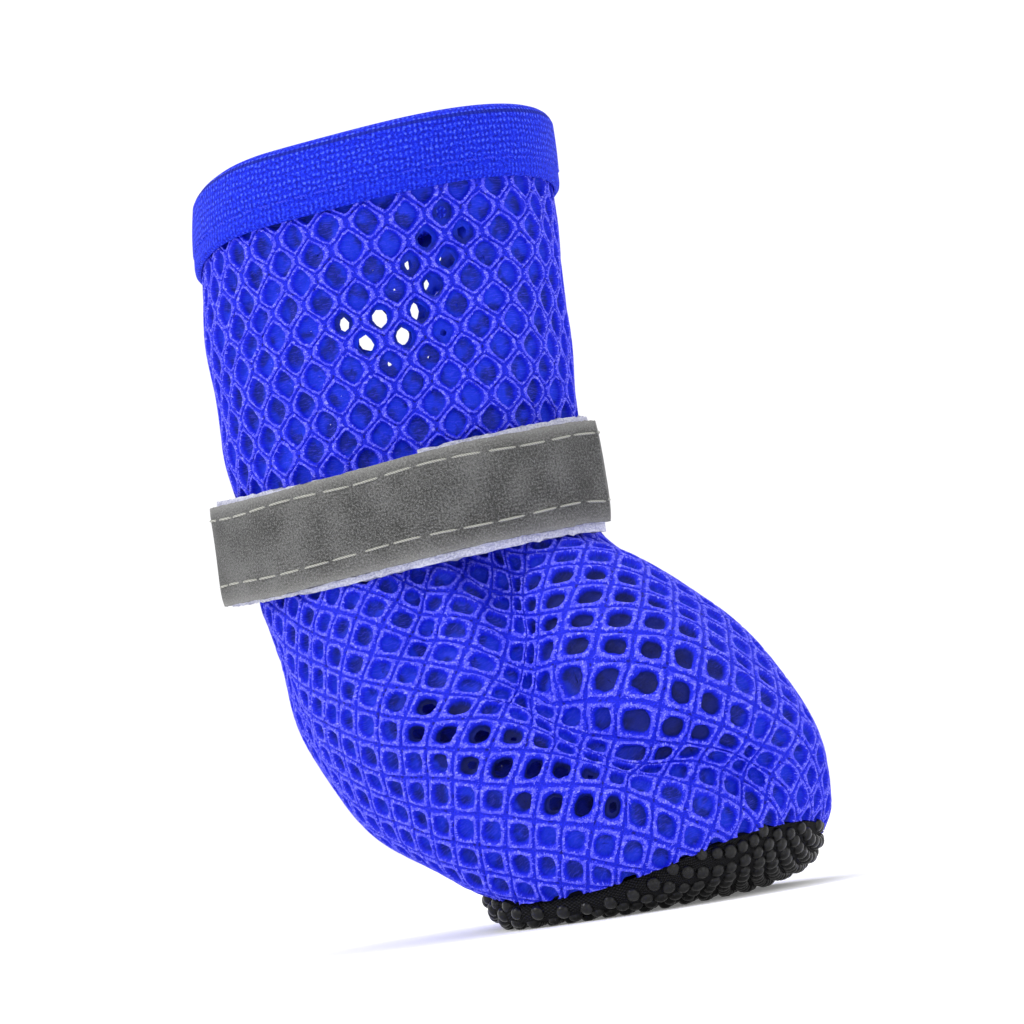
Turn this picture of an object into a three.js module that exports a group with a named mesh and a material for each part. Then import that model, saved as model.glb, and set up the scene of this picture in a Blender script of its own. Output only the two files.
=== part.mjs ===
// Mesh dog boot: a soft slip-on with a tube shaft, a round toe and a dotted fabric sole.
// Millimetres, +Z up, +X toward the toe, +Y toward the boot's left side.
// The boot stands empty on its sole, with the origin at the middle of its footprint.
import * as THREE from "three";

// Driving dimensions
const WALL = 2.0; // spacer mesh of the upper
const GAP = 0.3; // clearance between two pieces that touch
const LINING = 0.8; // insole cloth
const INSOLE_START = 0.7; // row of the sole's table where the insole's edge lies
const SOLE = 1.8; // dotted sole fabric
const BINDING = 1.0; // each layer of the collar's folded tape
const BINDING_HEIGHT = 11.0; // outside, from the collar's edge down
const BINDING_TURN = 9.5; // inside, from the collar's edge down
const STRAP_WIDTH = 15.0;
const STRAP_TAPE = 0.9; // grey tape on the outside of the strap
const STRAP_BACKING = 0.9; // hook and loop tape on its inside
const BACKING_WIDTH = 16.0;
const STRAP_EASE = 0.6; // room between the shaft and the strap
const STRAP_HEIGHT = 63.8; // strap's middle above the floor
const STRAP_RISE = 0.7; // how far it climbs from there to the front
const STRAP_LEAN = 2.5; // how far it climbs from there to the boot's left side
const STRAP_START = -50; // degrees round the shaft from the toe side, where its inner end lies
const STRAP_RELEASE = -4; // where its outer end leaves the shaft
const STRAP_FREE_END = 5.0; // length that stands off the shaft, straight
const STRAP_FOLD = 218; // where the strap keeps a fold from being packed flat
const STRAP_FOLD_PROUD = 2.0; // how far that fold stands off the shaft
const STRAP_FOLD_SPREAD = 15; // degrees from the fold's middle to where it has mostly died out
const STRAP_CLIMB = 24; // degrees over which the outer end climbs onto the inner end
const STRAP_STEP = 6; // degrees between points of the strap
const STRAP_FREE_STEPS = 4; // points along the straight free end
const STRAP_REST_ROWS = 9; // rows of the shaft that the strap is tried against

const AROUND = 56; // points round a section
const ROWS_PER_SPAN = 3; // rings between two sections of the upper
const SOLE_RINGS = 7; // rings from the sole's edge to its tread
const INSOLE_RINGS = 5;
const BINDING_FACE_RINGS = 5; // rings down each face of the collar's binding
const BINDING_LAP_RINGS = 4; // rings up each side of the upper under it
const BINDING_SHOULDER = 0.4; // where the fold's rounding begins, of the way to the upper's edge
const BINDING_ROUND = 0.9; // of the tape's thickness, rounded off each side of the fold's top
const NORMAL_STEP = 0.02; // in rows and radians, for slopes of a surface

// Each section is a ring with a back, side and front point.
// z is the height of each of the three, x their distance from the shaft's axis,
// and the two powers say how square the rear and front halves are (2 is an ellipse).
const UPPER_SECTIONS = [
  { name: "collar", zBack: 114.5, zSide: 118.5, zFront: 120.5, xBack: -24.8, xSide: 3, xFront: 31,
    halfWidth: 24.5, rear: 2.0, front: 2.0 },
  { name: "binding", zBack: 99.5, zSide: 103.5, zFront: 105.5, xBack: -27.5, xSide: 2, xFront: 30,
    halfWidth: 25.0, rear: 2.0, front: 2.0 },
  { name: "shaft", zBack: 80.5, zSide: 83.5, zFront: 85.5, xBack: -27.5, xSide: 1, xFront: 29,
    halfWidth: 25.5, rear: 2.0, front: 2.0 },
  { name: "strap top", zBack: 68.5, zSide: 70.5, zFront: 73.5, xBack: -26, xSide: 1, xFront: 28.3,
    halfWidth: 25.3, rear: 2.0, front: 2.0 },
  { name: "strap foot", zBack: 51, zSide: 53.5, zFront: 57, xBack: -24.5, xSide: 1.5, xFront: 29,
    halfWidth: 25.3, rear: 2.0, front: 2.0 },
  { name: "instep", zBack: 41.5, zSide: 42.5, zFront: 46.5, xBack: -23, xSide: 6, xFront: 43,
    halfWidth: 27.5, rear: 1.9, front: 2.0 },
  { name: "ball", zBack: 29.5, zSide: 29.5, zFront: 34.5, xBack: -20, xSide: 13, xFront: 55,
    halfWidth: 29.5, rear: 1.75, front: 2.1 },
  { name: "toe", zBack: 17, zSide: 14.5, zFront: 20, xBack: -11, xSide: 21, xFront: 62,
    halfWidth: 28.5, rear: 1.6, front: 2.3 },
  { name: "seam", zBack: 8.5, zSide: 3.5, zFront: 9, xBack: 5.5, xSide: 28, xFront: 60,
    halfWidth: 25.5, rear: 1.45, front: 2.4 },
];

// The sole goes on down from the seam, turns under and lies flat.
const SOLE_SECTIONS = [
  { name: "edge", zBack: 8.2, zSide: 3.2, zFront: 8.7, xBack: 5.5, xSide: 28, xFront: 60,
    halfWidth: 25.5, rear: 1.45, front: 2.4 },
  { name: "turn", zBack: 2.9, zSide: 0.9, zFront: 3.0, xBack: 6.5, xSide: 28, xFront: 55.5,
    halfWidth: 24.4, rear: 1.4, front: 2.4 },
  { name: "tread", zBack: 0, zSide: 0, zFront: 0, xBack: 8.5, xSide: 28, xFront: 46,
    halfWidth: 21.5, rear: 1.4, front: 2.4 },
];

const FINISHES = {
  mesh: { color: 0x1f28ee, roughness: 0.55, metalness: 0.0 },
  binding: { color: 0x1a2aee, roughness: 0.7, metalness: 0.0 },
  tape: { color: 0x77776f, roughness: 0.45, metalness: 0.25 },
  backing: { color: 0xd5d6e6, roughness: 0.9, metalness: 0.0 },
  dots: { color: 0x0b0b0c, roughness: 0.35, metalness: 0.0 },
  lining: { color: 0x101012, roughness: 0.9, metalness: 0.0 },
};

// Catmull-Rom blend of one named column of a table, at row number t.
function column(sections, key, t) {
  const last = sections.length - 1;
  const i = Math.min(Math.max(Math.floor(t), 0), last - 1);
  const f = t - i;
  const [a, b, c, d] = [i - 1, i, i + 1, i + 2].map(
    (row) => sections[Math.min(Math.max(row, 0), last)][key],
  );
  return 0.5 * (2 * b + (c - a) * f + (2 * a - 5 * b + 4 * c - d) * f * f
    + (3 * b - a - 3 * c + d) * f * f * f);
}

// Point of a table's surface at row number t and angle round the ring, 0 at the toe side.
function surfacePoint(sections, t, angle) {
  const at = (key) => column(sections, key, t);
  const cos = Math.cos(angle);
  const sin = Math.sin(angle);
  const ahead = cos >= 0;
  const power = 2 / at(ahead ? "front" : "rear");
  const reach = at(ahead ? "xFront" : "xBack") - at("xSide");
  const rise = at(ahead ? "zFront" : "zBack") - at("zSide");
  return new THREE.Vector3(
    at("xSide") + reach * Math.abs(cos) ** power,
    at("halfWidth") * Math.sign(sin) * Math.abs(sin) ** power,
    at("zSide") + rise * cos * cos,
  );
}

// Outward normal of that surface, from small steps along it.
function surfaceNormal(sections, t, angle) {
  const last = sections.length - 1;
  const above = surfacePoint(sections, Math.max(t - NORMAL_STEP, 0), angle);
  const below = surfacePoint(sections, Math.min(t + NORMAL_STEP, last), angle);
  const before = surfacePoint(sections, t, angle - NORMAL_STEP);
  const after = surfacePoint(sections, t, angle + NORMAL_STEP);
  return after.sub(before).cross(above.sub(below)).normalize();
}

// The surface moved outward along its normals.
function offsetPoint(sections, t, angle, distance) {
  const normal = surfaceNormal(sections, t, angle);
  return surfacePoint(sections, t, angle).addScaledVector(normal, distance);
}

const ringAngles = Array.from({ length: AROUND }, (_, i) => (2 * Math.PI * i) / AROUND);

function ringAt(sections, t, distance) {
  return ringAngles.map((angle) => offsetPoint(sections, t, angle, distance));
}

// Row number of the upper whose side point is at a given height.
function rowAtHeight(height) {
  let low = 0;
  let high = UPPER_SECTIONS.length - 1;
  for (let i = 0; i < 40; i++) {
    const middle = (low + high) / 2;
    if (column(UPPER_SECTIONS, "zSide", middle) > height) low = middle;
    else high = middle;
  }
  return (low + high) / 2;
}

const COLLAR_HEIGHT = UPPER_SECTIONS[0].zSide;
const BINDING_START = rowAtHeight(COLLAR_HEIGHT - BINDING - GAP); // row of the upper's top edge
const LID_ROWS = rowAtHeight(COLLAR_HEIGHT - GAP); // the clearance over that edge

function geometryOf(points, faces) {
  const geometry = new THREE.BufferGeometry().setFromPoints(points);
  geometry.setIndex(faces);
  geometry.computeVertexNormals();
  return geometry;
}

// Joins rings of equal size, each to the next. Walking down the outside of a form with rings
// that run counterclockwise seen from above gives faces that point out.
function bridge(faces, count, upper, lower) {
  for (let i = 0; i < count; i++) {
    const j = (i + 1) % count;
    faces.push(upper + i, lower + i, lower + j);
    faces.push(upper + i, lower + j, upper + j);
  }
}

// A closed loop of rings: down the outside, back up the inside and over the top.
function ringLoop(rings) {
  const faces = [];
  rings.forEach((ring, i) => {
    bridge(faces, ring.length, i * ring.length, ((i + 1) % rings.length) * ring.length);
  });
  return geometryOf(rings.flat(), faces);
}

// A dish: rings down the outside to a flat bottom, and rings up the inside.
// Both floors are filled from their own middle point.
function dish(outer, inner) {
  const rings = [...outer].reverse().concat(inner);
  const faces = [];
  const count = rings[0].length;
  for (let i = 0; i < rings.length - 1; i++) {
    bridge(faces, count, (i + 1) * count, i * count);
  }
  const points = rings.flat();
  const middle = (ring) =>
    ring.reduce((sum, point) => sum.add(point), new THREE.Vector3()).divideScalar(count);
  const under = points.length;
  const floor = points.length + 1;
  points.push(middle(rings[0]), middle(rings[rings.length - 1]));
  const last = (rings.length - 1) * count;
  for (let i = 0; i < count; i++) {
    const j = (i + 1) % count;
    faces.push(under, j, i);
    faces.push(floor, last + i, last + j);
  }
  return geometryOf(points, faces);
}

// Brings a rim's inner edge level with its outer edge, so that two rims can butt.
function levelRim(outer, inner) {
  inner.forEach((point, i) => point.setZ(outer[i].z));
}

// Row numbers from first to last in even steps.
function rows(first, last, count) {
  return Array.from({ length: count }, (_, i) => first + ((last - first) * i) / (count - 1));
}

// The upper is one wall, open at the collar and underneath.
function upperGeometry() {
  const last = UPPER_SECTIONS.length - 1;
  const first = BINDING_START;
  const levels = rows(first, last, last * ROWS_PER_SPAN + 1);
  const outside = levels.map((t) => ringAt(UPPER_SECTIONS, t, 0));
  const inside = levels.map((t) => ringAt(UPPER_SECTIONS, t, -WALL));
  levelRim(outside[outside.length - 1], inside[inside.length - 1]);
  return ringLoop([...outside, ...inside.reverse()]);
}

// The collar's binding is folded over the upper's top edge.
function bindingGeometry() {
  const outer = GAP + BINDING;
  const inner = -WALL - GAP - BINDING;
  const outsideFoot = rowAtHeight(COLLAR_HEIGHT - BINDING_HEIGHT);
  const insideFoot = rowAtHeight(COLLAR_HEIGHT - BINDING_TURN);
  const layer = (from, to, distance, count) =>
    rows(from, to, count).map((t) => ringAt(UPPER_SECTIONS, t, distance));
  const shoulder = BINDING_START * BINDING_SHOULDER;
  const lid = BINDING_START - LID_ROWS;
  return ringLoop([
    ringAt(UPPER_SECTIONS, 0, (outer + inner) / 2),
    ringAt(UPPER_SECTIONS, 0, outer - BINDING * BINDING_ROUND),
    ...layer(shoulder, outsideFoot, outer, BINDING_FACE_RINGS),
    ...layer(outsideFoot, lid, GAP, BINDING_LAP_RINGS),
    ...layer(lid, insideFoot, -WALL - GAP, BINDING_LAP_RINGS),
    ...layer(insideFoot, shoulder, inner, BINDING_FACE_RINGS),
    ringAt(UPPER_SECTIONS, 0, inner + BINDING * BINDING_ROUND),
  ]);
}

// Path of the strap in plan, as angles with the distance that each stands off the shaft.
// It lies under its own outer end at the front, and keeps a packed fold at one side.
function strapStations() {
  const layer = STRAP_TAPE + STRAP_BACKING + 2 * GAP;
  const stations = [];
  for (let angle = STRAP_START; angle <= 360 + STRAP_RELEASE; angle += STRAP_STEP) {
    const climbed = (angle - (360 + STRAP_START - STRAP_CLIMB)) / STRAP_CLIMB;
    const over = Math.min(Math.max(climbed, 0), 1);
    const away = Math.abs(angle - STRAP_FOLD) / STRAP_FOLD_SPREAD;
    const fold = STRAP_FOLD_PROUD * Math.exp(-away * away);
    stations.push({ angle: THREE.MathUtils.degToRad(angle), proud: layer * over + fold });
  }
  return stations;
}

// Middle line of the strap and its outward direction, at a distance from the shaft's wall.
// The shaft is waisted under the strap, so the strap rests on the widest row that it covers.
function strapLine(distance) {
  const t = rowAtHeight(STRAP_HEIGHT);
  const line = strapStations().map(({ angle, proud }) => {
    const normal = surfaceNormal(UPPER_SECTIONS, t, angle).setZ(0).normalize();
    const waist = surfacePoint(UPPER_SECTIONS, t, angle);
    const z = STRAP_HEIGHT + STRAP_RISE * Math.cos(angle) + STRAP_LEAN * Math.sin(angle);
    const top = rowAtHeight(STRAP_HEIGHT + z - waist.z + BACKING_WIDTH / 2);
    const foot = rowAtHeight(STRAP_HEIGHT + z - waist.z - BACKING_WIDTH / 2);
    const rest = Math.max(
      ...rows(top, foot, STRAP_REST_ROWS).map((row) =>
        surfacePoint(UPPER_SECTIONS, row, angle).sub(waist).dot(normal)),
    );
    const point = waist.clone().addScaledVector(normal, rest + distance + proud);
    point.z = z;
    return { point, normal };
  });
  const end = line[line.length - 1];
  const along = new THREE.Vector3(-end.normal.y, end.normal.x, 0);
  for (let i = 1; i <= STRAP_FREE_STEPS; i++) {
    const away = (STRAP_FREE_END * i) / STRAP_FREE_STEPS;
    const point = end.point.clone().addScaledVector(along, away);
    line.push({ point, normal: end.normal });
  }
  return line;
}

// A flat tape of a width and thickness along a line, closed at both ends.
function tapeGeometry(line, width, thickness) {
  const points = [];
  const faces = [];
  line.forEach(({ point, normal }) => {
    const outer = point.clone().addScaledVector(normal, thickness);
    for (const [side, height] of [[outer, 1], [point, 1], [point, -1], [outer, -1]]) {
      points.push(side.clone().setZ(side.z + (height * width) / 2));
    }
  });
  for (let i = 0; i < line.length - 1; i++) {
    bridge(faces, 4, i * 4, (i + 1) * 4);
  }
  const last = (line.length - 1) * 4;
  faces.push(0, 1, 2, 0, 2, 3);
  faces.push(last, last + 2, last + 1, last, last + 3, last + 2);
  return geometryOf(points, faces);
}

function backingGeometry() {
  return tapeGeometry(strapLine(STRAP_EASE), BACKING_WIDTH, STRAP_BACKING);
}

function tapeFaceGeometry() {
  return tapeGeometry(strapLine(STRAP_EASE + STRAP_BACKING + GAP), STRAP_WIDTH, STRAP_TAPE);
}

// The sole's rim butts against the upper's lower edge at the seam.
function soleGeometry() {
  const last = SOLE_SECTIONS.length - 1;
  const outer = rows(0, last, SOLE_RINGS).map((t) => ringAt(SOLE_SECTIONS, t, 0));
  outer[outer.length - 1].forEach((point) => point.setZ(0));
  const inner = rows(0, last, SOLE_RINGS).map((t) => ringAt(SOLE_SECTIONS, t, -SOLE));
  inner[inner.length - 1].forEach((point) => point.setZ(SOLE));
  levelRim(outer[0], inner[0]);
  return dish(outer, inner);
}

// The lining lies in the sole's dish and stops below its rim.
function insoleGeometry() {
  const last = SOLE_SECTIONS.length - 1;
  const under = SOLE + GAP;
  const over = under + LINING;
  const outer = rows(INSOLE_START, last, INSOLE_RINGS).map((t) => ringAt(SOLE_SECTIONS, t, -under));
  outer[outer.length - 1].forEach((point) => point.setZ(under));
  const inner = rows(INSOLE_START, last, INSOLE_RINGS).map((t) => ringAt(SOLE_SECTIONS, t, -over));
  inner[inner.length - 1].forEach((point) => point.setZ(over));
  return dish(outer, inner);
}

function piece(name, geometry, finish) {
  const mesh = new THREE.Mesh(geometry, new THREE.MeshStandardMaterial(FINISHES[finish]));
  mesh.name = name;
  return mesh;
}

const boot = new THREE.Group();
boot.add(
  piece("upper", upperGeometry(), "mesh"),
  piece("collar_binding", bindingGeometry(), "binding"),
  piece("strap_backing", backingGeometry(), "backing"),
  piece("strap_tape", tapeFaceGeometry(), "tape"),
  piece("outsole", soleGeometry(), "dots"),
  piece("insole", insoleGeometry(), "lining"),
);

// The origin goes to the middle of the footprint, on the floor.
const box = new THREE.Box3().setFromObject(boot);
const middle = box.getCenter(new THREE.Vector3());
boot.position.set(-middle.x, -middle.y, -box.min.z);

export default boot;
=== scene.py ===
"""Soft mesh dog boot: a knitted net upper, a bound collar, a wrap strap and a dotted fabric sole.

Lengths inside the classes are millimetres in the boot's own frame: +X toward the toe, +Y toward
the boot's left side, +Z up. They become metres when a mesh is made.
"""

import logging
import math
from collections.abc import Sequence
from dataclasses import astuple, dataclass, field
from enum import Enum

import bpy
import numpy as np
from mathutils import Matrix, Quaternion, Vector
from mathutils.bvhtree import BVHTree


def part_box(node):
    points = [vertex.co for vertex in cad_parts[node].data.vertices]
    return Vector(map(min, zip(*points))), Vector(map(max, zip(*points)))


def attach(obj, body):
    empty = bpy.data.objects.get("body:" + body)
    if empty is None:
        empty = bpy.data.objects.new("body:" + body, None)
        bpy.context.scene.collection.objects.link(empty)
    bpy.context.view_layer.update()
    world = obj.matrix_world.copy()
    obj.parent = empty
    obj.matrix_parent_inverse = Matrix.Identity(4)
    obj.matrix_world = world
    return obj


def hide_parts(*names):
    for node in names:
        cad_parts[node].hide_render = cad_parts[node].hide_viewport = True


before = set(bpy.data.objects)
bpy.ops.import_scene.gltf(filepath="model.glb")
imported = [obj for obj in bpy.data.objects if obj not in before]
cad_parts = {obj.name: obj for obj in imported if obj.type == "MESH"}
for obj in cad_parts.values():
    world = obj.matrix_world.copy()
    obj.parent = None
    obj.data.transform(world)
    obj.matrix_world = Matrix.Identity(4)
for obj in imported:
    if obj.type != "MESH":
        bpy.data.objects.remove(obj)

log = logging.getLogger("dog_boot")
MM = 0.001
CLOTH_UV = "cloth"
UV_UNIT = 100.0  # millimetres of cloth to one unit of its UV map
BODY = "root"
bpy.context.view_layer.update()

Array = np.ndarray
Colour = tuple[float, float, float]
Link = bpy.types.NodeSocket


# ---------------------------------------------------------------------------------------------
# Material building
# ---------------------------------------------------------------------------------------------


class Value:
    """A number that varies over a surface, with the usual arithmetic."""

    def __init__(self, board: "Board", socket: bpy.types.NodeSocket) -> None:
        """Keeps the socket and the board that it is on."""
        self.board = board
        self.socket = socket

    def __add__(self, other: "Value | float") -> "Value":
        """Sum."""
        return self.board.math("ADD", self, other)

    __radd__ = __add__

    def __sub__(self, other: "Value | float") -> "Value":
        """Difference."""
        return self.board.math("SUBTRACT", self, other)

    def __rsub__(self, other: float) -> "Value":
        """Difference, reflected."""
        return self.board.math("SUBTRACT", other, self)

    def __mul__(self, other: "Value | float") -> "Value":
        """Product."""
        return self.board.math("MULTIPLY", self, other)

    __rmul__ = __mul__

    def sine(self) -> "Value":
        """Sine of an angle in radians."""
        return self.board.math("SINE", self)

    def between(self, low: float, high: float) -> "Value":
        """0 below low and 1 above high, with a smooth step between them."""
        node = self.board.node(
            "ShaderNodeMapRange",
            {"interpolation_type": "SMOOTHSTEP"},
            {"Value": self, "From Min": low, "From Max": high},
        )
        return Value(self.board, node.outputs["Result"])


class Board:
    """A material's node tree, and the few ways in which nodes are put on it."""

    def __init__(self, name: str) -> None:
        """Starts an empty material of that name."""
        self.material = bpy.data.materials.new(name)
        self.material.use_nodes = True
        self.tree = self.material.node_tree
        self.tree.nodes.clear()

    def node(
        self, kind: str, settings: dict | None = None, inputs: dict | None = None
    ) -> bpy.types.Node:
        """Adds a node.

        Args:
            kind: the node's type.
            settings: its properties, and a ramp's stops under "stops".
            inputs: a number, colour or link for each socket, by name or place.

        Returns:
            The new node.
        """
        made = self.tree.nodes.new(kind)
        for key, value in (settings or {}).items():
            if key == "stops":
                elements = made.color_ramp.elements
                while len(elements) < len(value):
                    elements.new(0.5)
                for element, (place, colour) in zip(elements, value, strict=True):
                    element.position = place
                    element.color = (*colour, 1.0)
            else:
                setattr(made, key, value)
        for key, value in (inputs or {}).items():
            socket = made.inputs[key]
            if isinstance(value, Value):
                self.tree.links.new(value.socket, socket)
            elif isinstance(value, bpy.types.NodeSocket):
                self.tree.links.new(value, socket)
            elif isinstance(value, tuple) and len(value) == 3 and socket.type == "RGBA":
                socket.default_value = (*value, 1.0)
            else:
                socket.default_value = value
        return made

    def math(self, operation: str, first: "Value | float", second: "Value | float" = 0.0) -> Value:
        """Adds one Math node and returns its result."""
        node = self.node("ShaderNodeMath", {"operation": operation}, {0: first, 1: second})
        return Value(self, node.outputs[0])

    def attribute(self, name: str) -> Value:
        """A number stored on the piece's points."""
        node = self.node("ShaderNodeAttribute", {"attribute_name": name})
        return Value(self, node.outputs["Fac"])

    def _scaled(self, place: Link, scale: float) -> Link:
        """A place times a number."""
        inputs = {"Vector": place, "Scale": scale}
        return self.node("ShaderNodeVectorMath", {"operation": "SCALE"}, inputs).outputs["Vector"]

    def cloth_place(self) -> Link:
        """The place on the flat cloth, in millimetres."""
        uv = self.node("ShaderNodeUVMap", {"uv_map": CLOTH_UV})
        return self._scaled(uv.outputs["UV"], UV_UNIT)

    def space_place(self) -> Link:
        """The place in space, in millimetres."""
        return self._scaled(self.node("ShaderNodeTexCoord").outputs["Object"], 1.0 / MM)

    def parts(self, place: Link) -> tuple[Value, Value, Value]:
        """The three numbers of a place."""
        split = self.node("ShaderNodeSeparateXYZ", None, {"Vector": place})
        return tuple(Value(self, split.outputs[i]) for i in range(3))

    def noise(self, place: Link, size: float, detail: float = 2.0) -> Value:
        """Soft random mottling.

        Args:
            place: where the pattern is read.
            size: size of a blotch in millimetres.
            detail: octaves of finer mottling.

        Returns:
            A number about 0.5.
        """
        node = self.node(
            "ShaderNodeTexNoise", None, {"Vector": place, "Scale": 1.0 / size, "Detail": detail}
        )
        return Value(self, node.outputs[0])

    def spots(self, place: Link, apart: float) -> Value:
        """Distance from scattered spots, 0 at each spot, that lie about so far apart."""
        node = self.node("ShaderNodeTexVoronoi", None, {"Vector": place, "Scale": 1.0 / apart})
        return Value(self, node.outputs["Distance"])

    def wave(self, place: Value, pitch: float) -> Value:
        """A sine wave of -1 to 1 that repeats at each pitch."""
        return (place * (2 * math.pi / pitch)).sine()

    def blend(self, factor: Value, first: Colour | Link, second: Colour | Link) -> Link:
        """Mixes two colours, from the first at 0 to the second at 1."""
        node = self.node(
            "ShaderNodeMix", {"data_type": "RGBA"}, {"Factor": factor, 6: first, 7: second}
        )
        return node.outputs[2]

    def bump(self, height: Value, distance: float) -> Link:
        """A bumped normal from a height of 0 to 1 that stands for a distance in millimetres."""
        inputs = {"Height": height, "Distance": distance * MM, "Strength": 1.0}
        return self.node("ShaderNodeBump", None, inputs).outputs["Normal"]

    def finish(
        self,
        colour: Colour | Link,
        roughness: Value | float,
        normal: Link | None = None,
        **constants: float | Link,
    ) -> bpy.types.Material:
        """Closes the material with one principled surface.

        Args:
            colour: a colour or a link.
            roughness: a number or a link.
            normal: a bumped normal, if there is one.
            constants: the other sockets, with _ for a space.

        Returns:
            The finished material.
        """
        inputs = {"Base Color": colour, "Roughness": roughness}
        if normal is not None:
            inputs["Normal"] = normal
        inputs.update({key.replace("_", " "): value for key, value in constants.items()})
        surface = self.node("ShaderNodeBsdfPrincipled", None, inputs)
        self.node("ShaderNodeOutputMaterial", None, {"Surface": surface.outputs[0]})
        return self.material


@dataclass(frozen=True)
class KnitNet:
    """Open spacer mesh: bright rims round the holes, partly painted sheen with painted glints,
    saturated ground with dark dots of painted shade, deeper blue pile inside with a painted glow higher
    up.
    """

    ground: Colour = (0.003, 0.008, 0.54)
    lighter: Colour = (0.006, 0.018, 0.78)
    # the rim yarn's own lighter blue, which also serves as painted sheen on the raised rims
    rim: Colour = (0.070, 0.076, 0.92)
    # colour of the painted glints on the rim yarn
    pale: Colour = (0.32, 0.32, 1.0)
    # painted shade: colour of the dark dots where small gaps would show the dark inside
    dark: Colour = (0.002, 0.004, 0.22)
    pile: Colour = (0.004, 0.016, 0.24)
    azure: Colour = (0.007, 0.034, 0.66)
    shadow: Colour = (0.002, 0.006, 0.075)
    glow_from: float = 48.0  # height above which the hole floors get a painted glow, standing for light through the pile
    glow_over: float = 18.0  # height over which the painted glow grows to its full strength
    # strength of that painted glow
    lit: float = 0.10
    knot: float = 0.55  # length of a knot along the yarn, in millimetres
    gap: float = 1.0  # between the dark dots of painted shade, standing for small gaps, in the middle of a strut

    def material(self) -> bpy.types.Material:
        """Builds the finish."""
        board = Board("knit net")
        place = board.cloth_place()
        crest = board.attribute("crest")
        middle = board.attribute("middle")
        depth = board.attribute("depth")
        spread = board.attribute("spread")
        knots = board.noise(place, self.knot, 1.0)
        fibres = board.noise(place, 0.20, 3.0)
        region = board.noise(place, 3.4, 2.0)
        hair = board.noise(self._stretched(board, place), 0.55, 2.0)
        speckle = (fibres - 0.5) * 2.6
        lumps = (knots - 0.5) * 2.4
        ground = board.blend((speckle + 0.5).between(0.1, 0.9), self.ground, self.lighter)
        # rim yarn on the crests: partly the yarn's lighter colour, partly painted sheen
        yarn_and_sheen = (crest + speckle * 0.60 + lumps * 0.55).between(0.44, 0.86)
        lit = board.blend(yarn_and_sheen, ground, self.rim)
        # painted highlight: pale glints on the rim yarn
        painted_glint = yarn_and_sheen * (speckle * 0.7 + lumps * 0.5 + 0.25).between(0.25, 0.75)
        lit = board.blend(painted_glint * 0.85, lit, self.pale)
        # painted shade: dark dots in the strut's middle where small gaps would show the dark inside
        gap_shade = middle.between(0.3, 0.8) * (1.0 - board.spots(place, self.gap).between(0.20, 0.36))
        lit = board.blend(gap_shade, lit, self.dark)
        floor = board.blend(region.between(0.40, 0.58), self.pile, self.azure)
        threads = hair.between(0.50, 0.64) * (1.0 - spread.between(0.3, 0.8))
        floor = board.blend(threads * 0.38, floor, self.rim)
        floor = board.blend((speckle + 0.3).between(0.3, 0.9) * 0.5, floor, self.lighter)
        _, _, up = board.parts(board.space_place())
        high = up.between(self.glow_from, self.glow_from + self.glow_over)
        floor = board.blend(spread.between(0.1, 0.4) * (1.0 - high) * 0.85, floor, self.shadow)
        colour = board.blend(depth.between(0.2, 0.8), lit, floor)
        relief = fibres * 0.5 + knots * crest * 0.5
        # painted glow: hole floors high on the shaft emit their own colour, standing for light through
        # the far wall
        through = depth.between(0.7, 1.0) * high
        return board.finish(
            colour,
            0.42 + fibres * 0.35,
            board.bump(relief, 0.30),
            Specular_IOR_Level=0.22,
            Emission_Color=board.blend(through, (0.0, 0.0, 0.0), floor),
            Emission_Strength=self.lit,
        )

    @staticmethod
    def _stretched(board: Board, place: Link) -> Link:
        """The cloth's place, stretched so that noise on it turns into fine slanting hairs."""
        mapping = board.node(
            "ShaderNodeMapping",
            None,
            {"Vector": place, "Rotation": (0.0, 0.0, 0.9), "Scale": (0.45, 3.2, 1.0)},
        )
        return mapping.outputs["Vector"]


@dataclass(frozen=True)
class WovenBinding:
    """Fine ribbed tape, with light specks of painted highlight where the threads cross."""

    dark: Colour = (0.002, 0.006, 0.36)
    ground: Colour = (0.004, 0.018, 0.70)
    thread: Colour = (0.022, 0.062, 0.88)
    # colour of the painted highlights on the raised thread crossings
    pale: Colour = (0.16, 0.24, 1.0)
    rib: float = 0.74  # between ribs, in millimetres
    pick: float = 0.95  # between crossing threads

    def material(self) -> bpy.types.Material:
        """Builds the finish."""
        board = Board("woven binding")
        place = board.cloth_place()
        wander = board.noise(place, 2.2, 2.0) * 2.0
        along, across, _ = board.parts(place)
        ribs = (along * (2 * math.pi / self.rib) + wander * 2.6).sine() * 0.5 + 0.5
        picks = (across * (2 * math.pi / self.pick) + wander * 3.1).sine() * 0.5 + 0.5
        fibres = board.noise(place, 0.2, 3.0)
        specks = board.noise(place, 0.42, 1.0)
        smooth = board.attribute("hem")
        cross = ribs * picks * (1.0 - smooth * 0.7) + ribs * smooth * 0.35
        weave = cross * 0.5 + (specks - 0.5) * 1.3 + (fibres - 0.5) * 1.0 + 0.30
        colour = board.blend(weave.between(0.05, 0.42), self.dark, self.ground)
        colour = board.blend(weave.between(0.40, 0.75), colour, self.thread)
        # painted highlights: pale specks on the weave's highest places, fewer on the smooth hem
        light = weave.between(0.60, 0.95) * (1.0 - smooth * 0.5)
        colour = board.blend(light * 0.5, colour, self.pale)
        return board.finish(
            colour,
            0.62 + fibres * 0.2,
            board.bump(weave * 0.8 + fibres * 0.2, 0.22),
            Specular_IOR_Level=0.15,
        )


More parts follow.
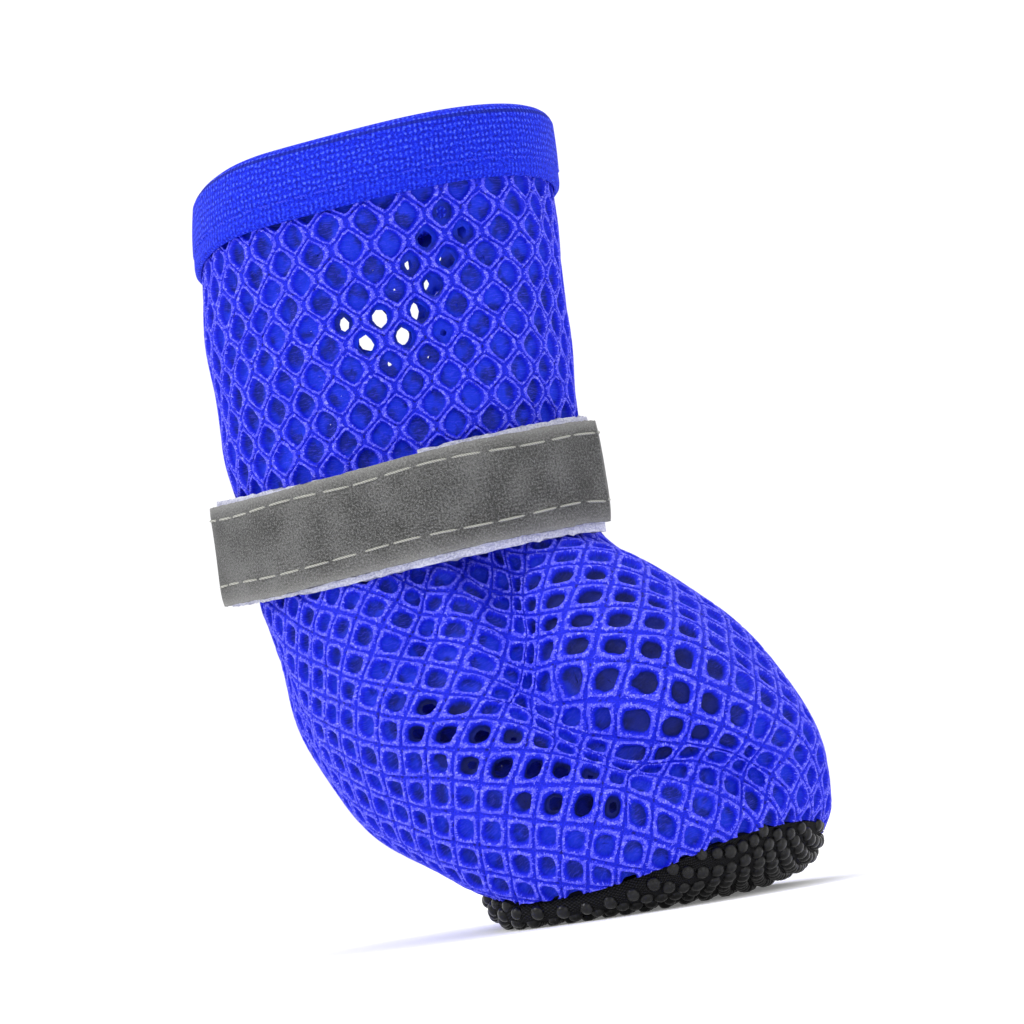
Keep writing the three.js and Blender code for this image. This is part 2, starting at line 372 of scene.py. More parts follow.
@dataclass(frozen=True)
class ReflectiveTape:
    """Grey glass-bead tape: a fine grain on a tight weave, rubbed lighter in places."""

    dark: Colour = (0.026, 0.026, 0.025)
    light: Colour = (0.145, 0.146, 0.144)
    pale: Colour = (0.32, 0.32, 0.32)
    worn: Colour = (0.36, 0.36, 0.35)
    twill: float = 0.42  # between ridges, in millimetres

    def material(self) -> bpy.types.Material:
        """Builds the finish."""
        board = Board("reflective tape")
        place = board.cloth_place()
        grain = board.noise(place, 0.30, 3.0)
        fine = board.noise(place, 0.12, 2.0)
        rubbed = board.noise(place, 7.0, 3.0)
        along, across, _ = board.parts(place)
        twill = board.wave(along + across, self.twill) * 0.5 + 0.5
        mottle = (grain - 0.5) * 2.2 + (rubbed - 0.5) * 1.2 + (fine - 0.5) * 1.6 + 0.5
        body = board.blend(mottle.between(0.0, 1.0), self.dark, self.light)
        colour = board.blend(
            fine.between(0.52, 0.68) * grain.between(0.46, 0.62) * 0.8, body, self.pale
        )
        colour = board.blend(board.attribute("edge") * 0.45, colour, self.worn)
        return board.finish(
            colour,
            0.50 + rubbed * 0.22,
            board.bump(twill * 0.25 + grain * 0.75, 0.20),
            Metallic=0.15,
            Specular_IOR_Level=0.3,
        )


@dataclass(frozen=True)
class LoopBacking:
    """Brushed off-white tape, with a woven ground and a fuzzy face."""

    shade: Colour = (0.42, 0.43, 0.62)
    light: Colour = (0.74, 0.75, 0.88)

    def material(self) -> bpy.types.Material:
        """Builds the finish."""
        board = Board("loop backing")
        place = board.cloth_place()
        fuzz = board.noise(place, 0.35, 4.0)
        patches = board.noise(place, 3.0, 2.0)
        colour = board.blend((fuzz * 0.7 + patches * 0.3).between(0.35, 0.62), self.shade, self.light)
        return board.finish(
            colour, 0.92, board.bump(fuzz, 0.35), Specular_IOR_Level=0.2, Sheen_Weight=0.4
        )


@dataclass(frozen=True)
class SewingThread:
    """Twisted thread of one colour."""

    name: str
    colour: Colour
    shade: Colour
    twist: float = 0.55  # between turns, in millimetres

    def material(self) -> bpy.types.Material:
        """Builds the finish."""
        board = Board(self.name)
        place = board.space_place()
        x, y, z = board.parts(place)
        twist = board.wave(x + y + z * 1.4, self.twist) * 0.5 + 0.5
        colour = board.blend(twist, self.shade, self.colour)
        return board.finish(colour, 0.6, board.bump(twist, 0.06), Specular_IOR_Level=0.35)


@dataclass(frozen=True)
class SoleKnit:
    """Black knit under the dots."""

    dark: Colour = (0.0035, 0.0035, 0.004)
    light: Colour = (0.022, 0.022, 0.025)
    wale: float = 0.62  # loop's width, in millimetres
    course: float = 0.52  # loop's height

    def material(self) -> bpy.types.Material:
        """Builds the finish."""
        board = Board("sole knit")
        place = board.cloth_place()
        along, across, _ = board.parts(place)
        loops = board.wave(along, self.wale) * board.wave(across, self.course)
        fibres = board.noise(place, 0.18, 3.0)
        relief = loops * 0.35 + fibres * 0.5
        colour = board.blend(relief.between(0.1, 0.62), self.dark, self.light)
        return board.finish(
            colour, 0.85, board.bump(relief, 0.25), Specular_IOR_Level=0.1
        )


@dataclass(frozen=True)
class RubberDot:
    """Glossy black dots, dusted a little on their tops."""

    colour: Colour = (0.0025, 0.0025, 0.003)
    dust: Colour = (0.009, 0.009, 0.010)

    def material(self) -> bpy.types.Material:
        """Builds the finish."""
        board = Board("rubber dots")
        place = board.space_place()
        dusting = board.noise(place, 1.6, 4.0)
        fine = board.noise(place, 0.25, 2.0)
        colour = board.blend(dusting.between(0.5, 0.75), self.colour, self.dust)
        return board.finish(
            colour,
            0.20 + dusting * 0.2,
            board.bump(fine, 0.04),
            Specular_IOR_Level=0.3,
        )


@dataclass(frozen=True)
class LiningCloth:
    """Plain black lining."""

    dark: Colour = (0.004, 0.004, 0.006)
    light: Colour = (0.020, 0.020, 0.026)
    pitch: float = 0.8  # of the weave, in millimetres

    def material(self) -> bpy.types.Material:
        """Builds the finish."""
        board = Board("lining cloth")
        place = board.cloth_place()
        along, across, _ = board.parts(place)
        weave = board.wave(along, self.pitch) * board.wave(across, self.pitch)
        fibres = board.noise(place, 0.3, 3.0)
        relief = weave * 0.3 + fibres
        colour = board.blend(relief.between(0.25, 0.85), self.dark, self.light)
        return board.finish(colour, 0.9, board.bump(relief, 0.2), Specular_IOR_Level=0.2)


@dataclass(frozen=True)
class StudioPaper:
    """Pale matt paper of the floor and backdrop."""

    colour: Colour = (0.89, 0.89, 0.90)
    lighter: Colour = (0.91, 0.91, 0.915)
    glow: float = 0.16  # stands for light from the rest of the room

    def material(self) -> bpy.types.Material:
        """Builds the finish."""
        board = Board("studio paper")
        grain = board.noise(board.space_place(), 4.0, 3.0)
        colour = board.blend(grain.between(0.3, 0.7), self.colour, self.lighter)
        return board.finish(
            colour,
            0.95,
            Specular_IOR_Level=0.1,
            Emission_Color=(1.0, 1.0, 1.0, 1.0),
            Emission_Strength=self.glow,
        )


# ---------------------------------------------------------------------------------------------
# Mesh helpers
# ---------------------------------------------------------------------------------------------


def select_only(piece: bpy.types.Object) -> None:
    """Deselects everything else and makes the piece active."""
    bpy.ops.object.select_all(action="DESELECT")
    piece.select_set(True)
    bpy.context.view_layer.objects.active = piece


def object_from(name: str, points: Array, faces: Sequence[Sequence[int]]) -> bpy.types.Object:
    """Makes a mesh object.

    Args:
        name: the object's name.
        points: its points, in the units that the mesh keeps.
        faces: point numbers of each face.

    Returns:
        The new object, linked to the scene.
    """
    mesh = bpy.data.meshes.new(name)
    mesh.from_pydata([tuple(map(float, p)) for p in points], [], [tuple(f) for f in faces])
    mesh.update()
    made = bpy.data.objects.new(name, mesh)
    bpy.context.scene.collection.objects.link(made)
    return made


def point_places(mesh: bpy.types.Mesh) -> Array:
    """All point places of a mesh, one row each."""
    flat = np.empty(len(mesh.vertices) * 3)
    mesh.vertices.foreach_get("co", flat)
    return flat.reshape(-1, 3)


def store_number(mesh: bpy.types.Mesh, name: str, values: Array) -> None:
    """Stores a number on each point of a mesh."""
    layer = mesh.attributes.get(name) or mesh.attributes.new(name, "FLOAT", "POINT")
    layer.data.foreach_set("value", np.asarray(values, dtype=np.float32))


def numbers(mesh: bpy.types.Mesh, name: str) -> Array:
    """Reads a number stored on each point of a mesh."""
    values = np.empty(len(mesh.vertices))
    mesh.attributes[name].data.foreach_get("value", values)
    return values


def store_cloth_uv(mesh: bpy.types.Mesh, flat: Array) -> None:
    """Stores each point's place on the flat cloth, in millimetres, as the cloth's UV map."""
    layer = mesh.uv_layers.get(CLOTH_UV) or mesh.uv_layers.new(name=CLOTH_UV)
    corners = np.empty(len(mesh.loops), dtype=np.int64)
    mesh.loops.foreach_get("vertex_index", corners)
    layer.data.foreach_set("uv", (flat[corners] / UV_UNIT).astype(np.float32).ravel())


def grid_faces(rows: int, columns: int, wrap: bool = False) -> list[tuple[int, int, int, int]]:
    """Quads of a grid of points whose rows run down and whose columns run right.

    Args:
        rows: number of rows.
        columns: number of columns.
        wrap: whether the last column joins the first.

    Returns:
        The quads, facing the side from which columns run right and rows run down.
    """
    across = [(c, (c + 1) % columns) for c in range(columns if wrap else columns - 1)]
    down = [(r * columns, (r + 1) * columns) for r in range(rows - 1)]
    return [(a + c, b + c, b + d, a + d) for a, b in down for c, d in across]


def close_up(piece: bpy.types.Object, angle: float = 60.0) -> None:
    """Shades a piece smoothly, apart from edges sharper than the angle in degrees."""
    select_only(piece)
    bpy.ops.object.shade_smooth_by_angle(angle=math.radians(angle))


def hand_over(
    piece: bpy.types.Object, finish: bpy.types.Material, nodes: Sequence[str] = ()
) -> None:
    """Dresses a piece and tells the frame what it is.

    Args:
        piece: the finished piece.
        finish: its material.
        nodes: the plain solids that it stands for.
    """
    piece.data.materials.clear()
    piece.data.materials.append(finish)
    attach(piece, BODY)
    if nodes:
        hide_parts(*nodes)
    log.info("%s: %d faces", piece.name, len(piece.data.polygons))


def declare_cloth(
    size: tuple[float, float],
    sewn_on: Sequence[bpy.types.Object] = (),
) -> None:
    """Takes a cloth piece's flat size, but does nothing with it.

    Args:
        size: the flat width and length that it was cut to, in millimetres.
        sewn_on: the pieces sewn to it; not used.
    """
    size[0] * MM
    size[1] * MM


# ---------------------------------------------------------------------------------------------
# The boot's form
# ---------------------------------------------------------------------------------------------


@dataclass(frozen=True)
class Section:
    """A ring round the boot, with a back, side and front point.

    The x places are measured from the shaft's axis. The two powers say how square the rear and
    front halves are, and 2 is an ellipse.
    """

    name: str
    z_back: float
    z_side: float
    z_front: float
    x_back: float
    x_side: float
    x_front: float
    half_width: float
    rear: float = 2.0
    front: float = 2.0

    def numbers(self) -> list[float]:
        """The section's sizes, in the order of its fields."""
        return list(astuple(self)[1:])


UPPER_SECTIONS = (
    Section("collar", 114.5, 118.5, 120.5, -24.8, 3, 31, 24.5),
    Section("binding", 99.5, 103.5, 105.5, -27.5, 2, 30, 25),
    Section("shaft", 80.5, 83.5, 85.5, -27.5, 1, 29, 25.5),
    Section("strap top", 68.5, 70.5, 73.5, -26, 1, 28.3, 25.3),
    Section("strap foot", 51, 53.5, 57, -24.5, 1.5, 29, 25.3),
    Section("instep", 41.5, 42.5, 46.5, -23, 6, 43, 27.5, 1.9, 2.0),
    Section("ball", 29.5, 29.5, 34.5, -20, 13, 55, 29.5, 1.75, 2.1),
    Section("toe", 17, 14.5, 20, -11, 21, 62, 28.5, 1.6, 2.3),
    Section("seam", 8.5, 3.5, 9, 5.5, 28, 60, 25.5, 1.45, 2.4),
)
SOLE_SECTIONS = (
    Section("edge", 8.2, 3.2, 8.7, 5.5, 28, 60, 25.5, 1.45, 2.4),
    Section("turn", 2.9, 0.9, 3.0, 6.5, 28, 55.5, 24.4, 1.4, 2.4),
    Section("tread", 0, 0, 0, 8.5, 28, 46, 21.5, 1.4, 2.4),
)
SHAFT_AXIS_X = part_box("outsole")[0].x / MM - SOLE_SECTIONS[0].x_back
UNDER_BINDING_ROW = 0.5  # where the net ends, inside the folded binding
WAIST_ROW = 3.5  # under the strap, where the two panels of net meet
SEAM_ROW = 8.0


class Form:
    """A smooth surface through a table of sections."""

    def __init__(self, sections: Sequence[Section]) -> None:
        """Reads the table and moves it from the shaft's axis to the boot's own frame."""
        self.table = np.array([section.numbers() for section in sections])
        self.table[:, 3:6] += SHAFT_AXIS_X
        self.last = len(sections) - 1
        self.rows = np.linspace(0, self.last, 1601)
        self.depths = -self.points(self.rows, np.full(1601, math.pi / 2))[:, 2]

    def _sizes(self, t: Array) -> Array:
        """The sizes at row numbers t, by Catmull-Rom blending."""
        i = np.clip(np.floor(t).astype(int), 0, self.last - 1)
        f = (t - i)[..., None]
        a, b, c, d = (self.table[np.clip(i + k, 0, self.last)] for k in (-1, 0, 1, 2))
        return 0.5 * (
            2 * b + (c - a) * f + (2 * a - 5 * b + 4 * c - d) * f**2 + (3 * b - a - 3 * c + d) * f**3
        )

    def row_at(self, height: float) -> float:
        """Row number whose side point is at a height."""
        return float(np.interp(-height, self.depths, self.rows))

    def points(self, t: Array, angle: Array) -> Array:
        """Surface points.

        Args:
            t: row numbers, 0 at the top section.
            angle: angles round the ring in radians, 0 at the toe side.

        Returns:
            The points in millimetres, with the shape of t and angle and one more axis.
        """
        t, angle = np.broadcast_arrays(np.asarray(t, float), np.asarray(angle, float))
        z_back, z_side, z_front, x_back, x_side, x_front, wide, rear, front = np.moveaxis(
            self._sizes(t), -1, 0
        )
        cos, sin = np.cos(angle), np.sin(angle)
        ahead = cos >= 0
        power = 2 / np.where(ahead, front, rear)
        x = x_side + (np.where(ahead, x_front, x_back) - x_side) * np.abs(cos) ** power
        y = wide * np.sign(sin) * np.abs(sin) ** power
        z = z_side + (np.where(ahead, z_front, z_back) - z_side) * cos * cos
        return np.stack([x, y, z], -1)

    def normals(self, t: Array, angle: Array) -> Array:
        """Outward unit normals at the same places."""
        step = 0.02
        t, angle = np.broadcast_arrays(np.asarray(t, float), np.asarray(angle, float))
        down = self.points(np.minimum(t + step, self.last), angle)
        down -= self.points(np.maximum(t - step, 0), angle)
        round_ = self.points(t, angle + step) - self.points(t, angle - step)
        normal = np.cross(round_, -down)
        return normal / np.linalg.norm(normal, axis=-1, keepdims=True)

    def offset(self, t: Array, angle: Array, distance: Array | float) -> Array:
        """Surface points moved outward by a distance."""
        return self.points(t, angle) + self.normals(t, angle) * np.asarray(distance)[..., None]


UPPER_FORM = Form(UPPER_SECTIONS)
SOLE_FORM = Form(SOLE_SECTIONS)


def from_line(points: Array, line: Array) -> Array:
    """Vector to each point from the nearest place on a line of points."""
    best = np.full(points.shape, 1e6)
    nearest = np.full(points.shape[:-1], np.inf)
    for start, end in zip(line[:-1], line[1:], strict=True):
        along = end - start
        share = np.clip(((points - start) @ along) / (along @ along), 0, 1)
        away = points - start - share[..., None] * along
        reach = (away**2).sum(-1)
        best = np.where((reach < nearest)[..., None], away, best)
        nearest = np.minimum(nearest, reach)
    return best


@dataclass(frozen=True)
class Crease:
    """A soft trough or ridge along a line on the upper.

    The route's points are row numbers and degrees round the ring. A height above 0 is a ridge.
    """

    name: str
    route: tuple[tuple[float, float], ...]
    width: float
    height: float
    gather: float = 0.0  # share by which the net is drawn together along it

    def line(self, form: Form) -> Array:
        """The route's points on a form."""
        stops = np.array(self.route)
        return form.points(stops[:, 0], np.radians(stops[:, 1]))

    def rise(self, form: Form, points: Array) -> Array:
        """How far the crease lifts each point along its normal, in millimetres."""
        away = from_line(points, self.line(form))
        return self.height * np.exp(-(away**2).sum(-1) / self.width**2)


CREASES = (
    Crease(
        "vamp fold",
        (
            (3.9, -38), (4.4, -40), (5.1, -49), (5.74, -55), (6.28, -52), (6.6, -44),
            (6.85, -33), (7.2, -16),
        ),
        4.6,
        -4.8,
        gather=0.54,
    ),
    Crease("side bulge", ((4.7, -84), (5.4, -86), (5.9, -84), (6.4, -75), (6.95, -62)), 7.5, 2.4),
    Crease("vamp crown", ((4.7, -14), (5.44, -22), (6.1, -22)), 9.5, 2.8),
    Crease("upright pleat", ((4.0, -58), (4.5, -64), (5.0, -70)), 3.0, -1.6, gather=0.2),
    Crease("left vamp fold", ((4.1, 44), (5.2, 54), (6.2, 56)), 5.0, -3.0, gather=0.25),
    Crease("left bulge", ((4.9, 84), (5.8, 84), (6.6, 70)), 8.0, 1.6),
    Crease("shaft dent", ((1.25, -36), (1.7, -44), (2.3, -50)), 9.0, -2.8),
    Crease("shaft ridge", ((1.2, -8), (2.0, -14), (2.8, -22)), 7.0, 1.0),
    Crease("shaft pinch", ((2.5, -84), (3.0, -66)), 6.0, -1.2),
    Crease("left shaft dent", ((1.4, 76), (2.4, 62)), 9.0, -2.2),
    Crease("heel tuck", ((4.6, -142), (5.6, -132)), 5.0, -1.6, gather=0.2),
    Crease("left heel tuck", ((4.6, 140), (5.8, 128)), 5.0, -1.8, gather=0.2),
    Crease("toe flat", ((7.3, 4), (7.2, 22)), 7.0, -0.8),
)


@dataclass(frozen=True)
class Spread:
    """Where the knit is stretched open, so that its holes can be seen through."""

    name: str
    route: tuple[tuple[float, float], ...]
    width: float
    open: float  # 1 is as wide as the hole's rim

    def share(self, form: Form, points: Array) -> Array:
        """How far open the knit is at each point."""
        stops = np.array(self.route)
        line = form.points(stops[:, 0], np.radians(stops[:, 1]))
        away = from_line(points, line)
        return self.open * np.exp(-(((away**2).sum(-1) / self.width**2) ** 2))


SPREADS = (
    Spread("over the bulge", ((5.85, -81), (6.2, -76), (6.5, -70), (6.85, -64), (7.05, -60)), 4.1, 1.1),
    Spread("on the vamp", ((5.1, -30), (6.3, -27)), 10.5, 0.39),
    Spread("shaft, near side", ((1.72, -62), (1.78, -46), (1.45, -38), (1.15, -33)), 5.6, 0.92),
    Spread("shaft, far side", ((0.9, 125), (1.75, 118)), 27.0, 1.0),
)


# ---------------------------------------------------------------------------------------------
# Cloth
# ---------------------------------------------------------------------------------------------


def flat_pattern(points: Array) -> Array:
    """Lays a curved grid of points out flat at its true size, as a cutter's pattern.

    Args:
        points: rows by columns of points in millimetres, rows running down.

    Returns:
        The same grid on the flat cloth, in millimetres, upright and centred as seen from outside.
    """
    rows, columns = points.shape[:2]
    pattern = object_from("pattern", points.reshape(-1, 3), grid_faces(rows, columns))
    select_only(pattern)
    bpy.ops.object.mode_set(mode="EDIT")
    bpy.ops.mesh.select_all(action="SELECT")
    bpy.ops.uv.unwrap(method="MINIMUM_STRETCH", margin=0.0)
    bpy.ops.object.mode_set(mode="OBJECT")
    mesh = pattern.data
    corners = np.empty(len(mesh.loops), dtype=np.int64)
    mesh.loops.foreach_get("vertex_index", corners)
    uv = np.empty(len(mesh.loops) * 2)
    mesh.uv_layers.active.data.foreach_get("uv", uv)
    laid = np.zeros((rows * columns, 2))
    laid[corners] = uv.reshape(-1, 2)
    bpy.data.objects.remove(pattern)

    across = np.linalg.norm(np.diff(points, axis=1), axis=-1).sum(1).mean()
    down = np.cumsum(np.linalg.norm(np.diff(points, axis=0), axis=-1).mean(1))
    wanted = np.linspace(-across / 2, across / 2, columns)[None, :] - 1j * np.concatenate(
        [[0.0], down]
    )[:, None]
    wanted = (wanted - wanted.mean()).ravel()
    best, fitted = math.inf, laid
    for mirror in (1, -1):
        place = laid[:, 0] + 1j * mirror * laid[:, 1]
        place = place - place.mean()
        turn = np.vdot(place, wanted) / np.vdot(place, place).real
        error = np.abs(wanted - turn * place).sum()
        if error < best:
            best, fitted = error, place * turn / abs(turn)
    grid = fitted.reshape(rows, columns)
    solid = np.linalg.norm(
        np.cross(points[1:, :-1] - points[:-1, :-1], points[:-1, 1:] - points[:-1, :-1]), axis=-1
    ).sum()
    a, b = grid[1:, :-1] - grid[:-1, :-1], grid[:-1, 1:] - grid[:-1, :-1]
    sheet = np.abs(a.real * b.imag - a.imag * b.real).sum()
    grid = grid * math.sqrt(solid / sheet)
    return np.stack([grid.real, grid.imag], -1)


class Cloth:
    """A curved sheet of points with its flat pattern, onto which flat work is laid."""

    def __init__(self, points: Array, normals: Array, flat: Array, wrap: bool = False) -> None:
        """Prepares the look-up from the flat pattern to the curved sheet.

        Args:
            points: rows by columns of points in millimetres.
            normals: their outward normals.
            flat: their places on the flat cloth.
            wrap: whether the last column joins the first.
        """
        rows, columns = points.shape[:2]
        quads = np.array(grid_faces(rows, columns, wrap))
        self.triangles = np.concatenate([quads[:, [0, 1, 2]], quads[:, [0, 2, 3]]])
        self.points = points.reshape(-1, 3)
        self.normals = normals.reshape(-1, 3)
        self.flat = flat.reshape(-1, 2)
        level = np.column_stack([self.flat, np.zeros(len(self.flat))])
        self.tree = BVHTree.FromPolygons(
            [tuple(p) for p in level], [tuple(t) for t in self.triangles.tolist()]
        )

    def lay(self, places: Array) -> tuple[Array, Array, Array]:
        """Finds where flat places come to lie.

        Args:
            places: places on the flat cloth, one row each.

        Returns:
            The curved points, their normals, and how far outside the cloth each place was.
        """
        hits = [self.tree.find_nearest((x, y, 0.0)) for x, y in places.tolist()]
        found = np.array([hit[2] for hit in hits])
        landed = np.array([hit[0][:2] for hit in hits])
        outside = np.array([hit[3] for hit in hits])
        corners = self.triangles[found]
        a, b, c = (self.flat[corners[:, k]] for k in range(3))
        ab, ac, ap = b - a, c - a, landed - a
        area = ab[:, 0] * ac[:, 1] - ab[:, 1] * ac[:, 0]
        area = np.where(np.abs(area) < 1e-12, 1e-12, area)
        second = (ap[:, 0] * ac[:, 1] - ap[:, 1] * ac[:, 0]) / area
        third = (ab[:, 0] * ap[:, 1] - ab[:, 1] * ap[:, 0]) / area
        shares = np.stack([1 - second - third, second, third], -1)[..., None]
        points = (self.points[corners] * shares).sum(1)
        normals = (self.normals[corners] * shares).sum(1)
        return points, normals / np.linalg.norm(normals, axis=1, keepdims=True), outside


def grid_normals(points: Array, wrap: bool = False) -> Array:
    """Outward normals of a grid whose rows run down and columns run right, seen from outside."""
    if wrap:
        right = np.roll(points, -1, axis=1) - np.roll(points, 1, axis=1)
    else:
        right = np.gradient(points, axis=1)
    down = np.gradient(points, axis=0)
    normal = np.cross(down, right)
    return normal / np.linalg.norm(normal, axis=-1, keepdims=True)


@dataclass(frozen=True)
class NetRing:
    """One ring of points round a hole of the net."""

    share: float  # of the way from the hole's rim to the cell's edge
    size: float  # against the hole
    height: float
    crest: float = 0.0  # how much of it is bright yarn, whose lightness is partly painted sheen on the raised rim
    middle: float = 0.0  # how near it is to the strut's middle
    depth: float = 0.0  # how deep in the hole it looks


CELL_OFFSETS = ("from_middle_x", "from_middle_y")  # a floor point's place in its own hole
OPENS_AT = 0.4  # share of a spread below which the pile still closes the holes
UNDER_STRAP_TUCK = 0.8  # the strap draws the shaft in by this much


@dataclass(frozen=True)
class NetCell:
    """One hole of the net with the knit round it, in a staggered lattice."""

    column: float  # between holes of one row
    row: float  # between rows of holes in one column
    hole_x: float  # half the hole's width
    hole_y: float  # half its height
    roundness: float  # 2 is an ellipse and 1 a diamond
    height: float = 0.30  # of the rim over the ground
    wall: float = 1.6  # from the ground to the inner face
    floor_depth: float = 0.66  # of the closed hole's floor, against the wall
    neck_depth: float = 0.70  # of the floor's middle
    neck: float = 0.012  # hole in the inner face against the outer hole, where it isn't stretched
    corners_between: int = 4  # points along each long side of the cell

    def _outline(self) -> Array:
        """Points round the cell's edge, where it meets the six cells round it."""
        half_x, half_y = self.column / 2, self.row / 2
        middle = (half_x**2 + half_y**2) / 2
        tip = middle / half_y
        shoulder = (middle - half_x * half_x) / half_y
        corners = [
            (half_x, -shoulder), (half_x, shoulder), (0, tip),
            (-half_x, shoulder), (-half_x, -shoulder), (0, -tip),
        ]
        points = []
        for k, start in enumerate(corners):
            end = corners[(k + 1) % 6]
            steps = 1 if start[0] == end[0] else self.corners_between
            for step in range(steps):
                share = step / steps
                points.append(
                    (start[0] + (end[0] - start[0]) * share, start[1] + (end[1] - start[1]) * share)
                )
        return np.array(points)

    def rings(self) -> tuple[NetRing, ...]:
        """The cell's rings, from its edge in to the hole's floor and out again underneath."""
        top, wall = self.height, self.wall
        return (
            NetRing(1.0, 1.0, -0.10, crest=0.12, middle=1.0),
            NetRing(0.78, 1.0, top * 0.30, crest=0.28, middle=0.25),
            NetRing(0.54, 1.0, top * 0.95, crest=1.0),
            NetRing(0.32, 1.0, top, crest=0.8),
            NetRing(0.10, 1.0, top * 0.50, crest=0.25),
            NetRing(0.0, 0.98, -0.20, crest=0.0, depth=0.3),
            NetRing(0.0, 0.90, -wall * 0.50, depth=0.9),
            NetRing(0.0, 0.60, -wall * self.floor_depth, depth=1.0),
            NetRing(0.0, self.neck, -wall * self.neck_depth, depth=1.0),
            NetRing(1.0, 1.0, -wall, depth=0.85),
        )

    def model(self) -> bpy.types.Object:
        """Models the cell flat, in millimetres, from a circle drawn into rings."""
        edge = self._outline()
        bpy.ops.object.select_all(action="DESELECT")
        bpy.ops.mesh.primitive_circle_add(vertices=len(edge), radius=1.0, fill_type="NOTHING")
        cell = bpy.context.object
        cell.name = "net cell"
        rings = self.rings()
        bpy.ops.object.mode_set(mode="EDIT")
        bpy.ops.mesh.select_all(action="SELECT")
        for _ in rings[1:]:
            bpy.ops.mesh.extrude_edges_move()
        bpy.ops.object.mode_set(mode="OBJECT")
        angle = np.arctan2(edge[:, 1], edge[:, 0])
        reach = (
            np.abs(np.cos(angle) / self.hole_x) ** self.roundness
            + np.abs(np.sin(angle) / self.hole_y) ** self.roundness
        ) ** (-1 / self.roundness)
        hole = np.stack([np.cos(angle), np.sin(angle)], -1) * reach[:, None]
        places = []
        for ring in rings:
            flat = (hole + (edge - hole) * ring.share) * ring.size
            places.append(np.column_stack([flat, np.full(len(edge), ring.height)]))
        cell.data.vertices.foreach_set("co", np.concatenate(places).ravel())
        for name in ("crest", "middle", "depth"):
            values = [getattr(ring, name) for ring in rings]
            store_number(cell.data, name, np.repeat(values, len(edge)))
        floor = np.repeat([ring.share == 0 and ring.size < 0.8 for ring in rings], len(edge))
        for axis, name in enumerate(CELL_OFFSETS):
            from_middle = np.concatenate(places)[:, axis]
            store_number(cell.data, name, np.where(floor, from_middle, 0))
        return cell

    def sheet(self, width: float, length: float) -> bpy.types.Object:
        """Repeats the cell into a flat sheet, centred, in millimetres."""
        cell = self.model()
        select_only(cell)
        bpy.ops.object.duplicate_move(
            TRANSFORM_OT_translate={"value": (self.column / 2, self.row / 2, 0)}
        )
        cell.select_set(True)
        bpy.context.view_layer.objects.active = cell
        bpy.ops.object.join()
        sheet = bpy.context.object
        counts = (math.ceil(width / self.column) + 1, math.ceil(length / self.row) + 1)
        steps = ((self.column, 0, 0), (0, self.row, 0))
        for count, step in zip(counts, steps, strict=True):
            repeat = sheet.modifiers.new("repeat", "ARRAY")
            repeat.use_relative_offset = False
            repeat.use_constant_offset = True
            repeat.constant_offset_displace = step
            repeat.count = count
            bpy.ops.object.modifier_apply(modifier=repeat.name)
        bpy.ops.object.mode_set(mode="EDIT")
        bpy.ops.mesh.select_all(action="SELECT")
        bpy.ops.mesh.remove_doubles(threshold=0.01)
        bpy.ops.mesh.normals_make_consistent(inside=False)
        bpy.ops.object.mode_set(mode="OBJECT")
        middle = [(count - 0.5) * max(step) / 2 for count, step in zip(counts, steps, strict=True)]
        places = point_places(sheet.data)
        places[:, :2] -= np.round(np.array(middle) / [self.column, self.row]) * [
            self.column, self.row,
        ]
        sheet.data.vertices.foreach_set("co", places.ravel())
        return sheet


def wander(places: Array, amount: float, seed: int) -> Array:
    """Smooth uneven drift of knitted work, in millimetres, so that no two holes are quite alike."""
    rng = np.random.default_rng(seed)
    drift = np.zeros_like(places)
    for _ in range(14):
        wave = rng.normal(0, 1, 2)
        wave *= 2 * math.pi / rng.uniform(7, 26) / np.linalg.norm(wave)
        drift += rng.normal(0, 1, 2) * np.sin(places @ wave + rng.uniform(0, 2 * math.pi))[:, None]
    return places + drift * amount / math.sqrt(14)


